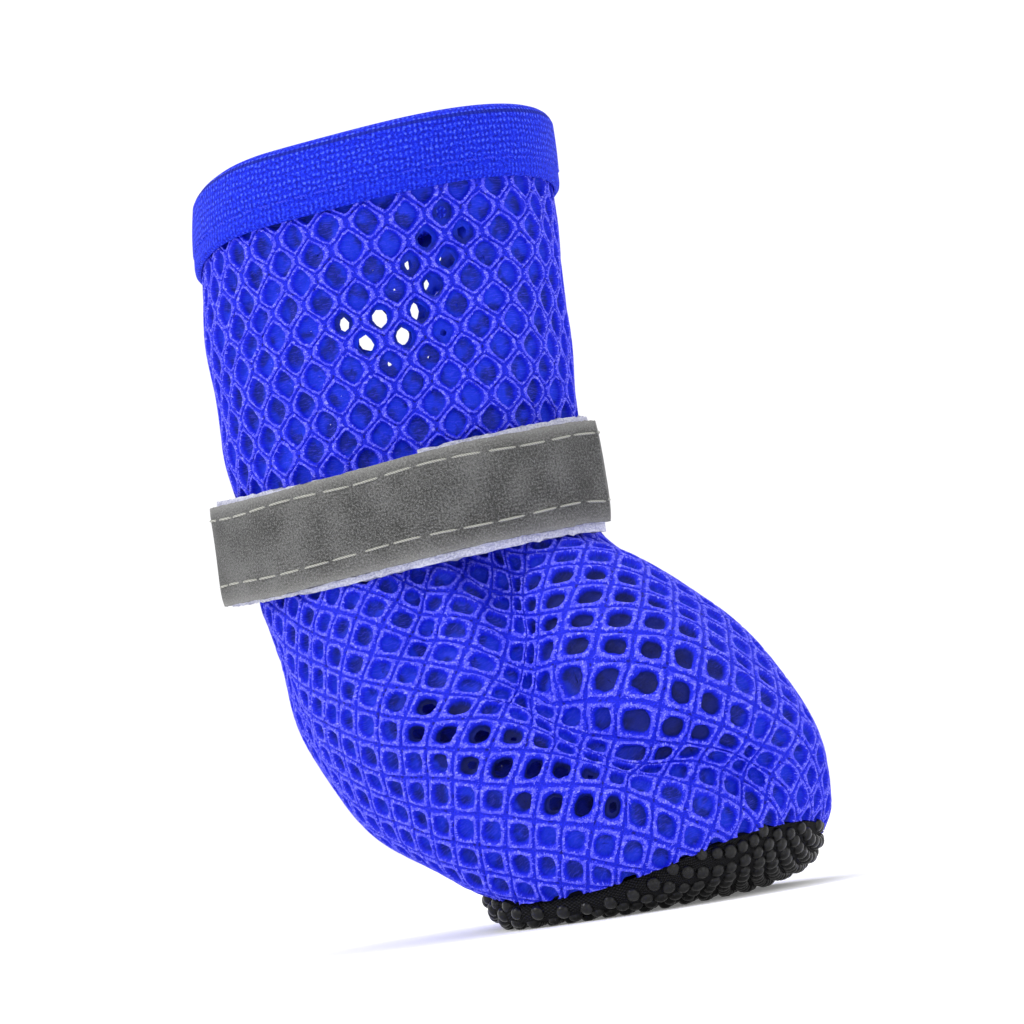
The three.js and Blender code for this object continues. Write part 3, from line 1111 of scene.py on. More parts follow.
@dataclass
class NetPanel:
    """A panel of net, laid over part of the upper's form."""

    name: str
    first_row: float
    last_row: float
    cell: NetCell
    seed: int
    around: int = 121
    down: int = 56
    turn: float = 0.0  # degrees that the net's lattice is turned on the pattern
    seam_pull: float = 1.1  # how far the back seam draws the net in
    seam_width: float = 1.8
    hem_pull: float = 1.0  # how far the sole's seam draws it in
    hem_width: float = 2.2
    row_height: float = 10.0  # of the rows near the sole's seam
    tuck_rows: float = 0.42  # half the height of the tuck under the strap, in rows
    ripple: float = 0.35
    drift: float = 0.22  # uneven knitting, over several holes
    unevenness: float = 0.065  # and from point to point
    widest: float = 0.92  # of the outer hole, that the inner one opens to

    def cloth(self) -> Cloth:
        """The panel's curved surface with creases, and its flat pattern."""
        t = np.linspace(self.first_row, self.last_row, self.down)[:, None]
        angle = np.linspace(-math.pi, math.pi, self.around)[None, :]
        smooth = UPPER_FORM.points(t, angle)
        rise = sum(crease.rise(UPPER_FORM, smooth) for crease in CREASES)
        back = np.abs(smooth[..., 1])
        behind = np.cos(angle) < 0
        rise = rise - np.where(behind, self.seam_pull * np.exp(-((back / self.seam_width) ** 2)), 0)
        hem = (SEAM_ROW - t) * self.row_height
        rise = rise - self.hem_pull * np.exp(-((hem / self.hem_width) ** 2))
        rise = rise + self.ripple * (
            np.sin(smooth[..., 2] * 0.33 + 2.0 * np.sin(angle * 2)) * np.sin(angle * 5 + 0.7)
        )
        waist = (t - WAIST_ROW) / self.tuck_rows
        rise = rise - UNDER_STRAP_TUCK * np.exp(-(waist**4))
        points = smooth + UPPER_FORM.normals(t, angle) * rise[..., None]
        return Cloth(points, grid_normals(points), flat_pattern(points))

    def build(self, finish: bpy.types.Material) -> bpy.types.Object:
        """Makes the panel, cut to its pattern."""
        cloth = self.cloth()
        low, high = cloth.flat.min(0), cloth.flat.max(0)
        width, length = high - low
        reach = math.hypot(width, length) if self.turn else 0.0
        sheet = self.cell.sheet(max(width, reach), max(length, reach))
        sheet.name = self.name
        sheet.data.name = self.name
        places = point_places(sheet.data)
        cos, sin = math.cos(math.radians(self.turn)), math.sin(math.radians(self.turn))
        turn = np.array([[cos, sin], [-sin, cos]])
        turned = places[:, :2] @ turn + (low + high) / 2
        from_middle = np.stack([numbers(sheet.data, name) for name in CELL_OFFSETS], -1) @ turn
        middle, _, _ = cloth.lay(turned - from_middle)
        spread = sum(spread.share(UPPER_FORM, middle) for spread in SPREADS)
        opened = np.clip((spread - OPENS_AT) / (1 - OPENS_AT), 0, 1)
        most = self.widest / self.cell.neck
        wider = np.clip(1 + opened * (most - 1), 1, most)
        between = (self.cell.floor_depth + self.cell.neck_depth) / 2
        in_hole = np.abs(from_middle).sum(-1) > 0
        inner = in_hole & (places[:, 2] < -self.cell.wall * between)
        floor = in_hole & ~inner
        grown = np.where(inner, wider, np.where(floor, 1 + opened * 0.5, 1.0))
        turned += from_middle * (grown - 1)[:, None]
        flat = wander(self._gathered(turned, cloth), self.drift, self.seed)
        rng = np.random.default_rng(self.seed + 1)
        uneven = rng.normal(0, self.unevenness, flat.shape)
        points, normals, outside = cloth.lay(flat + uneven)
        points = points + normals * places[:, 2:3]
        sheet.data.vertices.foreach_set("co", (points * MM).ravel())
        store_number(sheet.data, "spread", spread)
        store_cloth_uv(sheet.data, flat)
        self._trim(sheet, outside > 1e-4)
        hand_over(sheet, finish)
        return sheet

    @staticmethod
    def _gathered(flat: Array, cloth: Cloth) -> Array:
        """Draws places on the cloth toward the creases that gather it."""
        moved = flat.copy()
        for crease in CREASES:
            if not crease.gather:
                continue
            route = crease.line(UPPER_FORM)
            apart = ((cloth.points[None] - route[:, None]) ** 2).sum(-1)
            if apart.min(axis=1).mean() > 6.0**2:
                continue
            near = apart.min(axis=1) < 5.0**2
            line = cloth.flat[apart.argmin(axis=1)][near]
            if len(line) < 2:
                continue
            away = from_line(moved, line)
            reach = np.linalg.norm(away, axis=-1)
            moved -= away * (crease.gather * np.exp(-((reach / (crease.width * 1.7)) ** 2)))[:, None]
        return moved

    @staticmethod
    def _trim(sheet: bpy.types.Object, outside: Array) -> None:
        """Takes off the faces that lie wholly past the cloth's edge."""
        mesh = sheet.data
        faces = np.array(
            [all(outside[v] for v in polygon.vertices) for polygon in mesh.polygons]
        )
        mesh.vertices.foreach_set("select", np.zeros(len(mesh.vertices), dtype=bool))
        mesh.edges.foreach_set("select", np.zeros(len(mesh.edges), dtype=bool))
        mesh.polygons.foreach_set("select", faces)
        select_only(sheet)
        bpy.ops.object.mode_set(mode="EDIT")
        bpy.ops.mesh.select_mode(type="FACE")
        bpy.ops.mesh.delete(type="FACE")
        bpy.ops.mesh.select_mode(type="VERT")
        bpy.ops.object.mode_set(mode="OBJECT")
        bpy.ops.object.shade_smooth_by_angle(angle=math.radians(120))


@dataclass
class Upper:
    """The sock-like upper, in two panels that meet under the strap."""

    shaft_cell: NetCell = field(
        default_factory=lambda: NetCell(5.6, 7.0, 1.66, 2.02, 1.5, height=0.34)
    )
    foot_cell: NetCell = field(
        default_factory=lambda: NetCell(6.05, 6.05, 1.46, 1.46, 1.7, height=0.32)
    )

    def build(self) -> None:
        """Builds both panels."""
        finish = KnitNet().material()
        shaft = NetPanel("shaft_net", UNDER_BINDING_ROW, WAIST_ROW, self.shaft_cell, seed=11)
        shaft = shaft.build(finish)
        foot = NetPanel("foot_net", WAIST_ROW, SEAM_ROW, self.foot_cell, seed=23, down=72, turn=0.5)
        foot.build(finish)
        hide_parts("upper")


# ---------------------------------------------------------------------------------------------
# Collar
# ---------------------------------------------------------------------------------------------


@dataclass
class CollarBinding:
    """Ribbed tape folded over the shaft's edge and sewn down."""

    thickness: float = 1.0
    wall: float = 2.0
    gap: float = 0.3
    outside_height: float = 11.0
    inside_height: float = 9.5
    hem: float = 2.6  # folded edge below the stitching
    around: int = 300
    stitch: float = 2.4
    stitch_gap: float = 0.9
    radius: float = 26.5  # of the collar, to the middle of the tape
    seam_dent: float = 0.45
    seam_width: float = 1.1
    swell: float = 0.18  # slow unevenness of the tape's face

    def _profile(self) -> list[tuple[float, float, float]]:
        """Distance down from the top, distance off the shaft's face, and hem share."""
        out = self.gap + self.thickness
        inner = -self.wall - self.gap
        middle, half = (out + inner - self.thickness) / 2, (out - inner + self.thickness) / 2
        outside = [
            (depth, out + 0.25 * math.sin(math.pi * depth / self.outside_height))
            for depth in np.linspace(1.6, self.outside_height - self.hem - 0.4, 14)
        ]
        foot = self.outside_height
        hem = [
            (foot - self.hem, out - 0.08, 0.4),
            (foot - self.hem + 0.5, out + 0.04, 0.7),
            (foot - 1.0, out + 0.02, 0.8),
            (foot - 0.4, out - 0.1, 0.8),
            (foot, out - 0.45, 0.8),
            (foot, self.gap + 0.1, 0.8),
            (foot - 0.5, self.gap, 0.6),
        ]
        lining = [(1.9, self.gap, 0.0), (1.5, middle, 0.0), (1.9, inner, 0.0)]
        inside = [
            (self.inside_height - 0.4, inner, 0.6),
            (self.inside_height, inner - 0.2, 1.0),
            (self.inside_height, inner - self.thickness + 0.2, 1.0),
            (self.inside_height - 0.5, inner - self.thickness, 1.0),
        ]
        back_up = [
            (depth, inner - self.thickness, 0.0)
            for depth in np.linspace(self.inside_height - 1.6, 1.6, 8)
        ]
        top = [
            (1.6 - 1.6 * math.sin(a), middle - half * math.cos(a), 0.0)
            for a in np.linspace(0.35, math.pi - 0.35, 9)
        ]
        return [*((d, o, 0.0) for d, o in outside), *hem, *lining, *inside, *back_up, *top]

    def _row_at(self, depth: float) -> float:
        """Row number of the upper at a depth below the collar's edge, along its side."""
        return UPPER_FORM.row_at(UPPER_SECTIONS[0].z_side - depth)

    def build(self) -> None:
        """Builds the binding and its stitching."""
        profile = self._profile()
        angle = np.linspace(-math.pi, math.pi, self.around, endpoint=False)
        rings, flat = [], []
        run = 0.0
        previous = None
        for depth, off, _ in profile:
            t = np.full(self.around, self._row_at(depth))
            from_seam = np.abs(np.abs(angle) - math.pi) * 26 / self.seam_width
            seam = self.seam_dent * np.exp(-(from_seam**2))
            swell = self.swell * np.sin(angle * 3 + 0.5) + 0.10 * np.sin(angle * 7 + depth * 0.2)
            ring = UPPER_FORM.offset(t, angle, off + swell - seam)
            if previous is not None:
                run += float(np.linalg.norm(ring - previous, axis=-1).mean())
            previous = ring
            rings.append(ring)
            flat.append(np.column_stack([angle * self.radius, np.full(self.around, -run)]))
        rows = len(rings)
        faces = grid_faces(rows, self.around, wrap=True)
        last = (rows - 1) * self.around
        for c in range(self.around):
            d = (c + 1) % self.around
            faces.append((last + c, c, d, last + d))
        band = object_from("collar_band", np.concatenate(rings) * MM, faces)
        store_cloth_uv(band.data, np.concatenate(flat))
        store_number(band.data, "hem", np.repeat([hem for _, _, hem in profile], self.around))
        close_up(band, 70)
        hand_over(band, WovenBinding().material(), ["collar_binding"])
        folded = self.outside_height + self.inside_height + 2 * self.wall
        size = (2 * self.radius * math.pi, folded)
        declare_cloth(size, [self._sew(), self._seam_roll()])

    def _sew(self) -> bpy.types.Object:
        """Sews a row of short stitches above the hem."""
        stitches = StitchRow("collar_stitches", self.stitch, self.stitch_gap, 0.15)
        angle = np.linspace(-math.pi, math.pi, 721)
        t = np.full(721, self._row_at(self.outside_height - self.hem - 0.2))
        off = self.gap + self.thickness + 0.02 + self.swell * np.sin(angle * 3 + 0.5)
        line = UPPER_FORM.offset(t, angle, off)
        thread = SewingThread("collar thread", (0.03, 0.06, 0.95), (0.006, 0.015, 0.6))
        row = stitches.along(line, UPPER_FORM.normals(t, angle))
        hand_over(row, thread.material())
        return row

    def _seam_roll(self) -> bpy.types.Object:
        """Adds the small roll where the tape's ends are sewn at the back seam."""
        bpy.ops.object.select_all(action="DESELECT")
        bpy.ops.mesh.primitive_uv_sphere_add(segments=28, ring_count=16, radius=1.0)
        roll = bpy.context.object
        roll.name = "collar_seam_roll"
        places = point_places(roll.data)
        t = self._row_at(self.outside_height + 1.2)
        middle = UPPER_FORM.offset(np.array(t), np.array(math.pi), 0.6)
        places = np.sign(places) * np.abs(places) ** 0.9 * np.array([1.5, 2.3, 2.6])
        places[:, 0] += 0.35 * np.cos(places[:, 2] * 1.6)
        store_cloth_uv(roll.data, places[:, 1:])
        roll.data.vertices.foreach_set("co", ((places + middle) * MM).ravel())
        store_number(roll.data, "hem", np.ones(len(places)))
        close_up(roll, 80)
        hand_over(roll, WovenBinding().material())
        return roll


# ---------------------------------------------------------------------------------------------
# Stitching
# ---------------------------------------------------------------------------------------------


@dataclass(frozen=True)
class StitchRow:
    """A row of straight stitches that dip into the cloth at their ends."""

    name: str
    length: float
    gap: float
    radius: float

    def _model(self) -> bpy.types.Object:
        """One stitch of unit length along X, drawn from a short cylinder."""
        bpy.ops.object.select_all(action="DESELECT")
        bpy.ops.mesh.primitive_cylinder_add(
            vertices=6, radius=1.0, depth=1.0, end_fill_type="NGON", rotation=(0, math.pi / 2, 0)
        )
        stitch = bpy.context.object
        bpy.ops.object.transform_apply(location=False, rotation=True, scale=False)
        bpy.ops.object.mode_set(mode="EDIT")
        bpy.ops.mesh.select_all(action="SELECT")
        bpy.ops.mesh.bisect(plane_co=(-0.36, 0, 0), plane_no=(1, 0, 0))
        bpy.ops.mesh.select_all(action="SELECT")
        bpy.ops.mesh.bisect(plane_co=(0.36, 0, 0), plane_no=(1, 0, 0))
        bpy.ops.mesh.select_all(action="SELECT")
        bpy.ops.mesh.bisect(plane_co=(0, 0, 0), plane_no=(1, 0, 0))
        bpy.ops.mesh.select_all(action="DESELECT")
        bpy.ops.object.mode_set(mode="OBJECT")
        return stitch

    def along(self, line: Array, normals: Array) -> bpy.types.Object:
        """Sews along a line.

        Args:
            line: points of the seam in millimetres, close together.
            normals: the cloth's outward normals there.

        Returns:
            All stitches as one piece.
        """
        model = self._model()
        shape = point_places(model.data)
        faces = [tuple(polygon.vertices) for polygon in model.data.polygons]
        bpy.data.objects.remove(model)
        run = np.concatenate([[0], np.cumsum(np.linalg.norm(np.diff(line, axis=0), axis=1))])
        count = int(run[-1] // (self.length + self.gap))
        points, made = [], []
        for k in range(count):
            start = (k + 0.5) * (self.length + self.gap) - self.length / 2
            at = start + (shape[:, 0] + 0.5) * self.length
            middle = np.stack([np.interp(at, run, line[:, i]) for i in range(3)], -1)
            up = np.stack([np.interp(at, run, normals[:, i]) for i in range(3)], -1)
            up /= np.linalg.norm(up, axis=1, keepdims=True)
            ends = np.array([np.interp(start + s * self.length, run, run) for s in (0, 1)])
            tip = np.stack([np.interp(ends, run, line[:, i]) for i in range(3)], -1)
            forward = tip[1] - tip[0]
            forward /= np.linalg.norm(forward)
            side = np.cross(up, forward)
            dip = -self.radius * 1.5 * (np.abs(shape[:, 0]) * 2) ** 4
            thick = self.radius * (1 - 0.35 * (np.abs(shape[:, 0]) * 2) ** 4)
            made += [tuple(v + len(points) * len(shape) for v in face) for face in faces]
            points.append(
                middle
                + side * (shape[:, 1] * thick)[:, None]
                + up * (shape[:, 2] * thick + dip + self.radius * 0.3)[:, None]
            )
        piece = object_from(self.name, np.concatenate(points) * MM, made)
        close_up(piece, 80)
        return piece


# ---------------------------------------------------------------------------------------------
# Strap
# ---------------------------------------------------------------------------------------------


class Layer(Enum):
    """The two tapes that make the strap."""

    BACKING = "strap_backing"
    FACE = "strap_tape"


@dataclass
class Strap:
    """A wrap strap: grey tape sewn on a hook and loop tape, closed at the front."""

    width: float = 15.0
    backing_width: float = 16.0
    thickness: float = 0.9
    gap: float = 0.3
    ease: float = 0.6
    height: float = 63.8
    rise: float = 0.7
    lean: float = 2.5
    start: float = -50.0  # degrees, where the inner end lies
    release: float = -4.0  # where the outer end leaves the shaft
    free_end: float = 5.0
    climb: float = 24.0  # degrees over which the outer end climbs onto the inner one
    curl: float = 0.014  # of the free end, per millimetre along it
    fold: float = 218.0  # a fold from being packed flat
    fold_proud: float = 2.0
    fold_spread: float = 15.0
    stitch: float = 4.6
    stitch_gap: float = 0.7
    stitch_inset: tuple[float, float] = (1.9, 3.0)  # from the upper and lower edge

    def _line(self, distance: float) -> tuple[Array, Array, Array, Array]:
        """The strap's middle line.

        Args:
            distance: how far the line stands off the shaft.

        Returns:
            Its points, outward directions, run along the strap in millimetres, and degrees.
        """
        degrees = np.arange(self.start, 360 + self.release + 0.01, 2.0)
        angle = np.radians(degrees)
        over = np.clip((degrees - (360 + self.start - self.climb)) / self.climb, 0, 1)
        over = over * over * (3 - 2 * over) * (2 * self.thickness + 2 * self.gap)
        bend = self.fold_proud * np.exp(-np.abs((degrees - self.fold) / self.fold_spread) ** 1.6)
        mid = np.full(len(angle), UPPER_FORM.row_at(self.height))
        normal = UPPER_FORM.normals(mid, angle)
        normal[:, 2] = 0
        normal /= np.linalg.norm(normal, axis=1, keepdims=True)
        waist = UPPER_FORM.points(mid, angle)
        z = self.height + self.rise * np.cos(angle) + self.lean * np.sin(angle)
        tries = []
        for reach in np.linspace(-0.5, 0.5, 9) * self.backing_width:
            rows = np.array([UPPER_FORM.row_at(h) for h in self.height + z - waist[:, 2] + reach])
            tries.append(((UPPER_FORM.points(rows, angle) - waist) * normal).sum(1))
        rest = np.max(tries, axis=0)
        line = waist + normal * (rest + distance + over + bend)[:, None]
        line[:, 2] = z
        along = np.array([-normal[-1, 1], normal[-1, 0], 0.0])
        steps = np.linspace(0, self.free_end, 7)[1:]
        curl = self.curl * steps**2
        free = line[-1] + along * steps[:, None] + normal[-1] * curl[:, None]
        line = np.vstack([line, free])
        normal = np.vstack([normal, np.repeat(normal[-1:], len(steps), axis=0)])
        run = np.concatenate([[0], np.cumsum(np.linalg.norm(np.diff(line, axis=0), axis=1))])
        degrees = np.concatenate([degrees, np.full(len(steps), degrees[-1])])
        return line, normal, run, degrees

    @staticmethod
    def _sag(run: Array | float) -> Array | float:
        """How far the strap waves up and down, from the run along it."""
        return 0.3 * (0.35 * np.sin(run * 0.11) + 0.2 * np.sin(run * 0.27 + 1.0))

    def _tape(self, layer: Layer) -> bpy.types.Object:
        """Makes one tape as a closed band with softened edges."""
        face = layer is Layer.FACE
        width = self.width if face else self.backing_width
        distance = self.ease + (self.thickness + self.gap if face else 0.0)
        line, normal, run, degrees = self._line(distance)
        half = self.thickness / 2
        section = []
        for share in np.linspace(-1, 1, 15):
            edge = abs(share) ** 6
            section.append((share, half * (1 - 0.45 * edge), edge))
        loop = [(s, h, e) for s, h, e in section] + [(s, -h, e) for s, h, e in reversed(section)]
        rng = np.random.default_rng(5 if face else 6)
        points, flat, edges = [], [], []
        frays = rng.normal(0, 0.05 if face else 0.09, (len(line), len(loop)))
        for k in range(len(line)):
            sag = self._sag(run[k])
            toward_end = min(max((degrees[k] - self.fold) / 120.0, 0.0), 1.0)
            drop = 0.0 if face else 0.30 - 1.05 * toward_end
            for j, (share, off, edge) in enumerate(loop):
                ripple = 0.12 * math.sin(run[k] * 0.5 + share * 2.0) * (1 - edge)
                z = share * width / 2 + sag + drop + frays[k, j] * edge
                points.append(
                    line[k] + normal[k] * (half + off + ripple) + np.array([0, 0, z])
                )
                flat.append((run[k], share * width / 2 + (0 if off > 0 else 40)))
                edges.append(edge)
        count = len(loop)
        faces = []
        for k in range(len(line) - 1):
            for j in range(count):
                i = (j + 1) % count
                faces.append((k * count + j, (k + 1) * count + j, (k + 1) * count + i, k * count + i))
        faces.append(tuple(range(count)))
        faces.append(tuple(reversed(range((len(line) - 1) * count, len(line) * count))))
        tape = object_from(layer.value + "_cloth", np.array(points) * MM, faces)
        store_cloth_uv(tape.data, np.array(flat))
        store_number(tape.data, "edge", np.array(edges))
        close_up(tape, 50)
        return tape

    def build(self) -> None:
        """Builds both tapes and the stitching that joins them."""
        backing = self._tape(Layer.BACKING)
        hand_over(backing, LoopBacking().material(), ["strap_backing"])
        face = self._tape(Layer.FACE)
        hand_over(face, ReflectiveTape().material(), ["strap_tape"])
        thread = SewingThread("strap thread", (0.46, 0.46, 0.42), (0.24, 0.24, 0.21)).material()
        distance = self.ease + 2 * self.thickness + self.gap
        line, normal, run, _ = self._line(distance)
        sewn = []
        sag = self._sag(run)
        top, bottom = self.stitch_inset
        places = (("upper", self.width / 2 - top), ("lower", -self.width / 2 + bottom))
        for name, height in places:
            row = line + normal * 0.05
            row[:, 2] += height + sag + 0.15 * np.sin(run * 0.21 + height)
            stitches = StitchRow(f"strap_stitches_{name}", self.stitch, self.stitch_gap, 0.19)
            sewn.append(stitches.along(row, normal))
            hand_over(sewn[-1], thread)
        declare_cloth((self.backing_width, run[-1]))
        declare_cloth((self.width, run[-1]), sewn)


# ---------------------------------------------------------------------------------------------
# Sole
# ---------------------------------------------------------------------------------------------


@dataclass
class Sole:
    """Black knit, dished up to the seam, covered with small rubber dots."""

    dot_pitch: float = 3.1
    dot_row: float = 2.65
    dot_radius: float = 1.05
    dot_height: float = 0.65
    cloth_thickness: float = 1.3
    around: int = 180
    floor_rings: int = 16
    wall_rings: int = 14
    rim_pull: float = 0.9  # how far the seam draws the rim in
    lining_inset: float = 2.5
    lining_thickness: float = 0.9
    lining_starts: int = 5  # rings below the rim

    def _cloth(self, inset: float, rim_pull: float) -> tuple[Cloth, Array]:
        """The sole's outer face, a distance inside the sole's outline, from the rim to its middle.

        Args:
            inset: distance inside the outline.
            rim_pull: how far the seam draws the rim in.

        Returns:
            The cloth, and its points as a grid.
        """
        angle = np.linspace(-math.pi, math.pi, self.around, endpoint=False)
        t = np.linspace(0, SOLE_FORM.last, self.wall_rings)[:, None]
        wall = SOLE_FORM.offset(t, angle[None, :], -inset)
        wall[-1, :, 2] = inset
        middle = np.array([wall[-1, :, 0].mean(), 0.0, inset])
        pull = rim_pull * np.exp(-((t * 9.0) ** 2) / 6)
        toward = middle - wall
        toward[..., 2] = 0
        toward /= np.linalg.norm(toward, axis=-1, keepdims=True)
        wall = wall + toward * pull[..., None]
        shares = np.linspace(1, 0.02, self.floor_rings)[1:, None, None]
        floor = middle + (wall[-1] - middle) * shares
        grid = np.concatenate([wall, floor])
        steps = np.linalg.norm(np.diff(grid[::-1], axis=0), axis=-1)
        first = np.linalg.norm(grid[-1] - middle, axis=-1)[None]
        reach = np.cumsum(np.concatenate([first, steps]), axis=0)[::-1]
        heading = wall[-1] - middle
        heading = heading[:, :2] / np.linalg.norm(heading[:, :2], axis=-1, keepdims=True)
        flat = middle[:2] + heading[None] * reach[..., None]
        return Cloth(grid, grid_normals(grid, wrap=True), flat, wrap=True), grid

    def _filled(self, name: str, grid: Array, flat: Array, thickness: float) -> bpy.types.Object:
        """Makes a dish from a grid, with its middle filled and a wall of some thickness."""
        rows, columns = grid.shape[:2]
        faces = grid_faces(rows, columns, wrap=True)
        faces.append(tuple(reversed(range((rows - 1) * columns, rows * columns))))
        dish = object_from(name, grid.reshape(-1, 3) * MM, faces)
        store_cloth_uv(dish.data, flat)
        select_only(dish)
        bpy.ops.object.mode_set(mode="EDIT")
        bpy.ops.mesh.select_all(action="SELECT")
        bpy.ops.mesh.normals_make_consistent(inside=False)
        bpy.ops.object.mode_set(mode="OBJECT")
        wall = dish.modifiers.new("wall", "SOLIDIFY")
        wall.thickness = thickness * MM
        wall.offset = -1.0
        bpy.ops.object.modifier_apply(modifier=wall.name)
        close_up(dish, 50)
        return dish

    def _dot(self) -> tuple[Array, list[tuple[int, ...]]]:
        """One low dome, modelled from a sphere cut at its waist."""
        bpy.ops.object.select_all(action="DESELECT")
        bpy.ops.mesh.primitive_uv_sphere_add(segments=12, ring_count=8, radius=self.dot_radius)
        dome = bpy.context.object
        bpy.ops.object.mode_set(mode="EDIT")
        bpy.ops.mesh.select_all(action="SELECT")
        bpy.ops.mesh.bisect(
            plane_co=(0, 0, 0), plane_no=(0, 0, 1), clear_inner=True, use_fill=True
        )
        bpy.ops.mesh.select_all(action="SELECT")
        bpy.ops.transform.resize(value=(1, 1, (self.dot_height + 0.15) / self.dot_radius))
        bpy.ops.object.mode_set(mode="OBJECT")
        places = point_places(dome.data)
        faces = [tuple(polygon.vertices) for polygon in dome.data.polygons]
        bpy.data.objects.remove(dome)
        return places, faces

    def build(self) -> None:
        """Builds the knit, its dots and the lining."""
        cloth, grid = self._cloth(self.dot_height, self.rim_pull)
        knit = self._filled("sole_knit", grid, cloth.flat, self.cloth_thickness)
        hand_over(knit, SoleKnit().material(), ["outsole"])
        self._dots(cloth)
        lining_cloth, lining_grid = self._cloth(self.lining_inset, 0.0)
        lining = self._filled(
            "lining_cloth",
            lining_grid[self.lining_starts:],
            lining_cloth.flat[self.lining_starts * self.around:],
            self.lining_thickness,
        )
        hand_over(lining, LiningCloth().material(), ["insole"])

    def _dots(self, cloth: Cloth) -> None:
        """Sets the dots over the whole sole, up to its rim."""
        shape, faces = self._dot()
        low, high = cloth.flat.min(0), cloth.flat.max(0)
        rows = np.arange(low[1], high[1], self.dot_row)
        columns = np.arange(low[0], high[0], self.dot_pitch)
        centres = np.array(
            [(x + (k % 2) * self.dot_pitch / 2, y) for k, y in enumerate(rows) for x in columns]
        )
        rng = np.random.default_rng(31)
        centres += rng.normal(0, 0.07, centres.shape)
        points, normals, outside = cloth.lay(centres)
        inside = outside < 1e-4
        points, normals = points[inside], normals[inside]
        sizes = rng.uniform(0.92, 1.06, len(points))
        along = np.cross(normals, [0.0, 1.0, 0.2])
        along /= np.linalg.norm(along, axis=1, keepdims=True)
        side = np.cross(normals, along)
        made, placed = [], []
        for k, (point, normal, size) in enumerate(zip(points, normals, sizes, strict=True)):
            turned = (
                shape[:, :1] * along[k] * size
                + shape[:, 1:2] * side[k] * size
                + (shape[:, 2:3] - 0.15) * normal
            )
            made += [tuple(v + k * len(shape) for v in face) for face in faces]
            placed.append(point + turned)
        dots = object_from("sole_dots", np.concatenate(placed) * MM, made)
        close_up(dots, 60)
        hand_over(dots, RubberDot().material())
        log.info("%d dots", len(placed))


# ---------------------------------------------------------------------------------------------
# Studio
# ---------------------------------------------------------------------------------------------


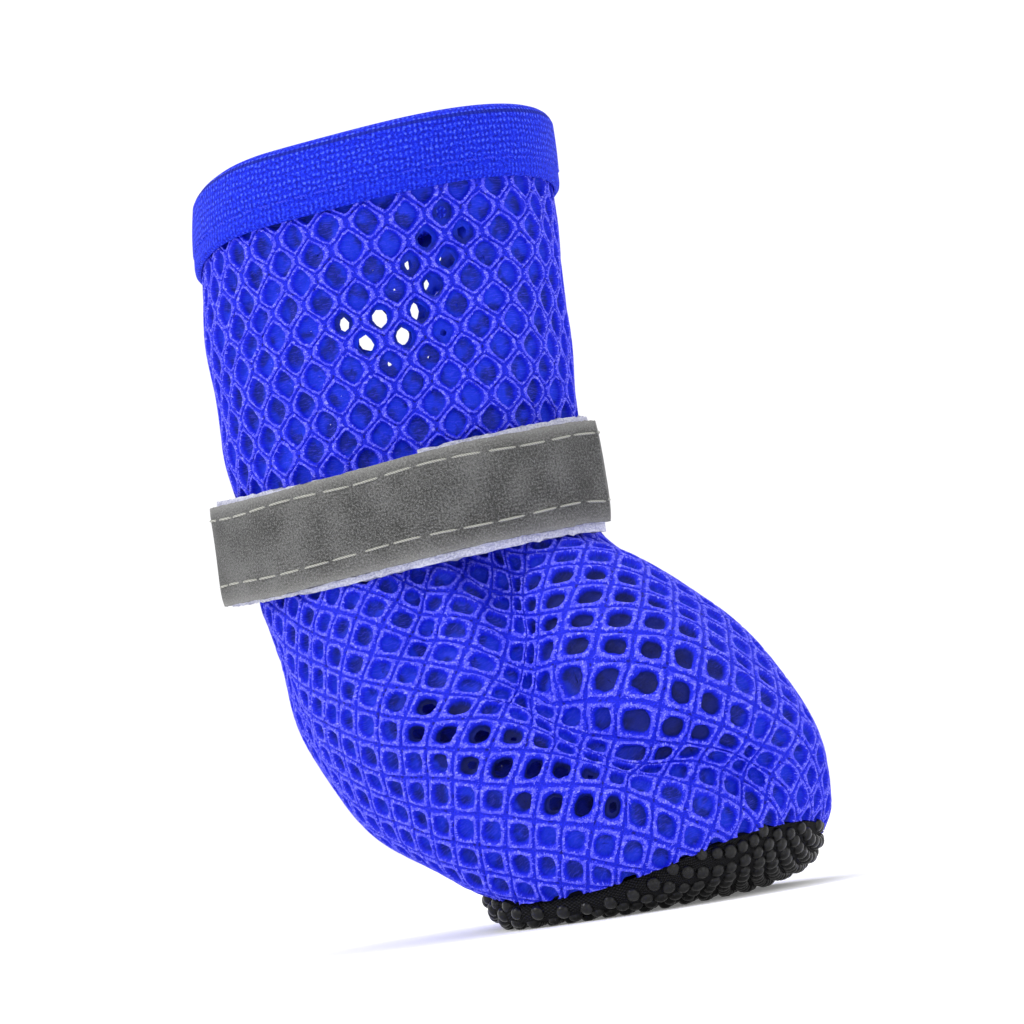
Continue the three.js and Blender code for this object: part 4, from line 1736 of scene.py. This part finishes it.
@dataclass
class Studio:
    """A pale floor that sweeps up all round, soft lamps and a low camera."""

    floor_radius: float = 1.6
    floor_inset: float = 0.9
    sweep: float = 1.2
    sweep_steps: int = 10
    room_light: float = 0.9
    azimuth: float = 38.0
    distance: float = 0.6
    eye_height: float = 0.0185
    roll: float = 9.0
    lens: float = 139.7
    target: tuple[float, float, float] = (-0.0027, 0.007, 0.0615)
    pivot_x: float = 5.0 * MM + SHAFT_AXIS_X * MM

    def build(self) -> None:
        """Builds the floor, lamps and camera."""
        self._floor()
        self._lamps()
        self._camera()

    def _floor(self) -> None:
        """Draws a disc out and up into a shallow bowl."""
        bpy.ops.object.select_all(action="DESELECT")
        bpy.ops.mesh.primitive_circle_add(
            vertices=96, radius=self.floor_radius, fill_type="NGON", location=(0, 0, 0)
        )
        floor = bpy.context.object
        floor.name = "studio_floor"
        bpy.ops.object.mode_set(mode="EDIT")
        bpy.ops.mesh.select_all(action="SELECT")
        bpy.ops.mesh.inset(thickness=self.floor_inset)
        bpy.ops.mesh.select_all(action="DESELECT")
        bpy.ops.object.mode_set(mode="OBJECT")
        for step in range(self.sweep_steps):
            low = math.radians(90 * step / self.sweep_steps)
            high = math.radians(90 * (step + 1) / self.sweep_steps)
            rise = self.sweep * (math.cos(low) - math.cos(high))
            out = self.sweep * (math.sin(high) - math.sin(low))
            radius = self.floor_radius + self.sweep * math.sin(low)
            places = point_places(floor.data)
            rim = np.hypot(places[:, 0], places[:, 1]) > radius - 1e-4
            edges = [bool(rim[e.vertices[0]] and rim[e.vertices[1]]) for e in floor.data.edges]
            floor.data.polygons.foreach_set("select", [False] * len(floor.data.polygons))
            floor.data.vertices.foreach_set("select", rim)
            floor.data.edges.foreach_set("select", edges)
            select_only(floor)
            bpy.ops.object.mode_set(mode="EDIT")
            bpy.ops.mesh.select_mode(type="EDGE")
            bpy.ops.mesh.extrude_edges_move(TRANSFORM_OT_translate={"value": (0, 0, rise)})
            grow = (radius + out) / radius
            bpy.ops.transform.resize(
                value=(grow, grow, 1.0), center_override=(0, 0, 0), orient_type="GLOBAL"
            )
            bpy.ops.object.mode_set(mode="OBJECT")
        bpy.ops.object.shade_smooth()
        floor.data.materials.append(StudioPaper().material())

    def _lamps(self) -> None:
        """Sets a bright even room with two large soft lamps."""
        world = bpy.data.worlds.new("room")
        world.use_nodes = True
        light = world.node_tree.nodes["Background"]
        light.inputs["Color"].default_value = (1, 1, 1, 1)
        light.inputs["Strength"].default_value = self.room_light
        bpy.context.scene.world = world
        lamps = (
            ("key lamp", (-0.45, -0.70, 0.80), 0.35, 5.0),
            ("fill lamp", (0.85, -0.35, 0.45), 0.6, 1.2),
            ("top lamp", (0.0, 0.1, 1.0), 0.5, 3.0),
        )
        for name, place, size, power in lamps:
            data = bpy.data.lights.new(name, "AREA")
            data.shape = "DISK"
            data.size = size
            data.energy = power
            lamp = bpy.data.objects.new(name, data)
            lamp.location = place
            aim = Vector((0, 0, 0.05)) - Vector(place)
            lamp.rotation_mode = "QUATERNION"
            lamp.rotation_quaternion = aim.to_track_quat("-Z", "Y")
            bpy.context.scene.collection.objects.link(lamp)

    def _camera(self) -> None:
        """Sets the camera just above the floor, turned a little about its own axis."""
        data = bpy.data.cameras.new("camera")
        data.lens = self.lens
        data.sensor_width = 36.0
        data.clip_start = 0.01
        camera = bpy.data.objects.new("camera", data)
        turn = math.radians(self.azimuth)
        place = Vector(
            (
                self.pivot_x + math.sin(turn) * self.distance,
                -math.cos(turn) * self.distance,
                self.eye_height,
            )
        )
        aim = Vector(self.target) - place
        camera.location = place
        camera.rotation_mode = "QUATERNION"
        level = aim.to_track_quat("-Z", "Y")
        rolled = Quaternion((0, 0, 1), -math.radians(self.roll))
        camera.rotation_quaternion = level @ rolled
        bpy.context.scene.collection.objects.link(camera)
        bpy.context.scene.camera = camera
        bpy.context.scene.view_settings.view_transform = "Standard"


def main() -> None:
    """Builds the boot from the sole up, then the studio round it."""
    logging.basicConfig(level=logging.INFO, format="%(message)s")
    Studio().build()
    Sole().build()
    Upper().build()
    CollarBinding().build()
    Strap().build()


if __name__ == "__main__":
    main()
